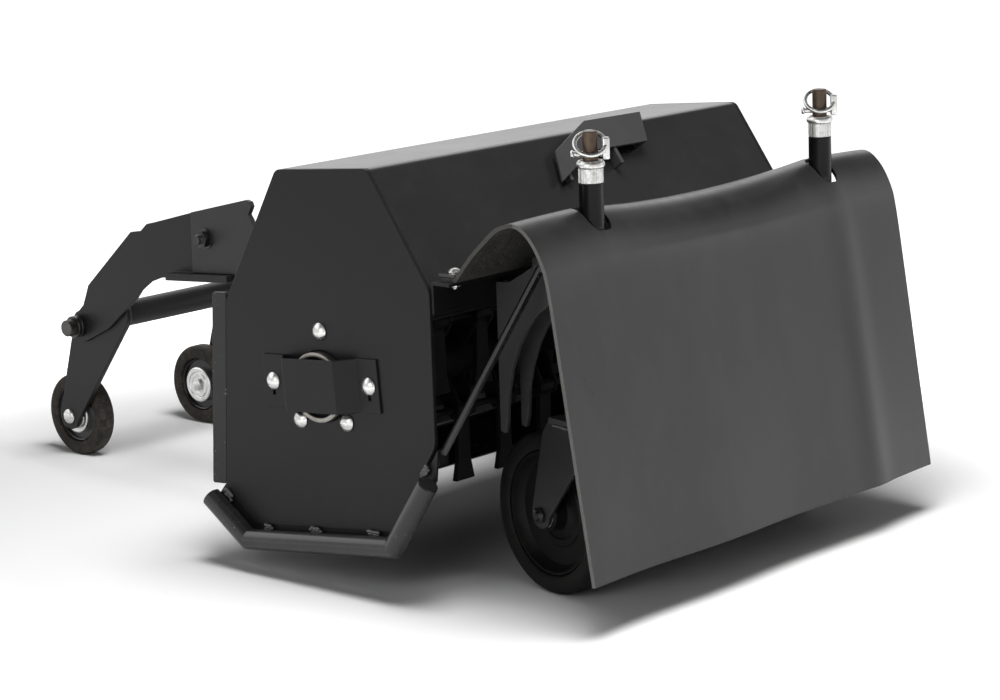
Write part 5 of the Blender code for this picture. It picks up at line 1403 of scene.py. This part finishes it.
def pivot_bolt(side):
    seat, tail, outward = cross_bolt(side, "_pivot_bolt", PIVOT_REACH)
    collar = [(0.0090, 0), (0.0156, 0), (0.0165, 0.0010), (0.0165, 0.0058), (0.0158, 0.0066)]
    collar += [(0.0152, 0.0068), (0.0158, 0.0072), (0.0165, 0.0080), (0.0165, 0.0122)]
    collar += [(0.0156, 0.0132), (0.0090, 0.0132)]
    lathed(side + "_pivot_collar", "deck", BLACK_BOLT, (seat, outward), collar, 48, 30,
           replaces=[side + "_pivot_bolt"])
    end = [(0, 0.0258), (0.0108, 0.0258), (0.0120, 0.0250), (0.0124, 0.0238), (0.0124, 0.0120), (0, 0.0120)]
    lathed(side + "_pivot_end", "deck", BOLT_END, (seat, outward), end, 40, 30, False)
    lathed(side + "_pivot_rod", "deck", BLACK_BOLT, (seat, -outward),
           rod_section(0.0089, 0, (seat - tail).length - 0.008), 32, ring=False)
    placed(PIVOT_NUT, side + "_pivot_nut", tail + outward * 0.0095, -outward, "deck", BLACK_BOLT,
           14)


for side in SIDES:
    hitch_bolt(side)
    pivot_bolt(side)
print("hitch bolts made")

# %% [markdown]
# Each skid is a bar bent to follow the end plate's lower edge. It lies against the plate's
# outer face. A dark sheet reaches down behind it from the plate's edge to the bar's middle,
# painted shade that fills the gap so that no light shows between the two. The bar is three
# turned legs with a ball at each bend. The lines are in y and z from the rotor's axis,
# along the deck's slope.

# %% Skids
SKID_R = 0.0135
SKID_LINE = ((0.2190, 0.1070), (0.1510, 0.0545), (-0.1110, 0.0649), (-0.1732, 0.1508))
PLATE_EDGE = ((-0.1780, 0.1900), (-0.1010, 0.0840), (0.1490, 0.0760), (0.2050, 0.1220))
LINE_BACK = 0.016
END_ROUND = 0.0012
SHADE_SHEET_T = 0.003


def on_deck(y, z):
    return y + rotor_axis.y - LINE_BACK, z - y * NOSE_RISE


def skid(side):
    way = SIDES[side]
    x = outer_face[side] + way * (SKID_R + SEAT_GAP)
    corners = [Vector((x, *on_deck(y, z))) for y, z in SKID_LINE]
    parts = []
    for index, (here, there) in enumerate(zip(corners, corners[1:])):
        reach = (there - here).length
        front, back = (END_ROUND if index == 2 else 0), (END_ROUND if index == 0 else 0)
        section = [(0, 0), (SKID_R - back, 0), (SKID_R, back)]
        section += [(SKID_R, reach - front), (SKID_R - front, reach), (0, reach)]
        parts.append(turned(here, there - here, section, 32))
    for corner in corners[1:3]:
        bpy.ops.object.select_all(action="DESELECT")
        bpy.ops.mesh.primitive_uv_sphere_add(segments=32, ring_count=16, radius=SKID_R, location=corner)
        parts.append(bpy.context.object)
    finished(joined(parts), side + "_skid_bar", "deck", SKID_PAINT, [side + "_skid"], 40)
    # A dark sheet behind the bar, painted shade that fills the gap under the plate's edge.
    outline = [on_deck(y, z) for y, z in SKID_LINE + PLATE_EDGE]
    web = cut_plate(outline, outer_face[side] - way * 0.0008, SHADE_SHEET_T, -way)
    finished(web, side + "_skid_web", "deck", PLATE_PAINT, (), 30)


for side in SIDES:
    skid(side)
print("two skids and their webs")

# %% [markdown]
# The frame is welded, and the beads show: short tacks between the skids and the end
# plates, a run along each side of a fork's crown, and a ring at each end of the cross
# tube. A bead is a row of small overlapping puddles, each a little off line, so one puddle
# is modelled and copied along the joint with a seeded scatter.

# %% Weld beads
dice = random.Random(7)
PUDDLE_PITCH = 0.0022


def bead(name, body, places):
    """Puddles of weld, one at each place, joined into one piece."""
    bpy.ops.object.select_all(action="DESELECT")
    bpy.ops.mesh.primitive_uv_sphere_add(segments=8, ring_count=5, radius=1)
    drops = [bpy.context.object]
    drops += [copied(drops[0]) for place in places[1:]]
    for drop, place in zip(drops, places):
        drop.matrix_world = place
    finished(joined(drops), name, body, WELD_PAINT, (), 60)


def weld_run(name, body, start, end, radius):
    """A straight bead from start to end."""
    count = max(2, int((end - start).length / PUDDLE_PITCH))
    heading = Vector((0, 0, 1)).rotation_difference(end - start).to_matrix().to_4x4()
    places = []
    for index in range(count):
        size = radius * dice.uniform(0.85, 1.15)
        shift = Vector([dice.uniform(-0.12, 0.12) * radius for axis in range(3)])
        puddle = heading @ Matrix.Diagonal((size, size, PUDDLE_PITCH * 0.95, 1))
        places.append(Matrix.Translation(start.lerp(end, (index + 0.5) / count) + shift) @ puddle)
    bead(name, body, places)


def weld_ring(name, body, centre, axis, ring_r, radius):
    """A bead round a tube."""
    first = axis.orthogonal().normalized()
    second = axis.cross(first)
    count = int(math.tau * ring_r / PUDDLE_PITCH)
    places = []
    for index in range(count):
        angle = math.tau * index / count
        size = radius * dice.uniform(0.85, 1.15)
        spot = centre + (first * math.cos(angle) + second * math.sin(angle)) * ring_r
        places.append(Matrix.Translation(spot) @ Matrix.Diagonal((size, size, size, 1)))
    bead(name, body, places)


print("a puddle every", PUDDLE_PITCH, "m")

# %% [markdown]
# A tack on the skid is three short beads side by side. Its place is given like the skid's
# line, with the angle at which it lies in degrees.

# %% Skid tacks
TACKS = ((0.1968, 0.1086, 38), (0.1238, 0.0696, 0), (0.0354, 0.0725, 0), (-0.0678, 0.0760, 0),
         (-0.1040, 0.0755, -28), (-0.1590, 0.1630, -57))
TACK_OUT = 0.0030
TACK_ROW = 0.0026

for side, way in SIDES.items():
    for index, (y, z, lean) in enumerate(TACKS):
        direction = Vector((0, math.cos(math.radians(lean)), math.sin(math.radians(lean))))
        crosswise = Vector((0, -direction.z, direction.y))
        spot = Vector((outer_face[side] + way * TACK_OUT, *on_deck(y, z)))
        for row in (-1, 0, 1):
            half = direction * dice.uniform(0.005, 0.012)
            middle = spot + crosswise * row * TACK_ROW + direction * dice.uniform(-0.003, 0.003)
            weld_run(f"{side}_skid_tack_{index + 1}_{row + 2}", "deck", middle - half, middle + half, 0.0026)
print("tacks:", sum("tack" in name for name in made))

# %% [markdown]
# The fork's runs lie where its legs meet the crown, and trail back over the wheel. The
# tube's rings lie where it meets the carrier's arms.

# %% Fork and tube welds
FORK_WELD_HALF = 0.034
FORK_WELD_BACK = 0.016
FORK_WELD_DROP = 0.0092
CROSS_TUBE_BACK = 0.080
CROSS_TUBE_UP = 0.023
CARRIER_ARM_T = 0.0095

for side in SIDES:
    stem, wheel = place_of(side + "_caster_swivel"), place_of(side + "_caster_roll")
    axle = Vector(joints[side + "_caster_roll"]["axis"])
    trail = (wheel - stem) - axle * (wheel - stem).dot(axle)
    trail.z = 0
    trail.normalize()
    seam = Vector((stem.x, stem.y, crown_top(side) - FORK_WELD_DROP))
    for label, way in (("a", -1), ("b", 1)):
        middle = seam + axle * way * (HALF_TRACK + SEAT_GAP) + trail * FORK_WELD_BACK
        reach = trail * FORK_WELD_HALF
        weld_run(f"{side}_fork_weld_{label}", side + "_swivel", middle - reach, middle + reach, 0.0022)

carrier_low, carrier_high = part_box("wheel_carrier")
pivot = place_of("rear_carrier_tilt")
for side, way in SIDES.items():
    inside = (carrier_low.x if way < 0 else carrier_high.x) - way * CARRIER_ARM_T
    tube = Vector((inside, pivot.y - CROSS_TUBE_BACK, pivot.z + CROSS_TUBE_UP))
    weld_ring(side + "_cross_tube_weld", "rear_carrier", tube, Vector((1, 0, 0)), 0.0195, 0.0026)
print("welds:", sum("weld" in name for name in made))

# %% [markdown]
# The bolts and nuts that were copied are still lying at the origin, and are put away.

# %% Put away the bench patterns
for pattern in patterns:
    bpy.data.objects.remove(pattern, do_unlink=True)
print("pieces made:", len(made))
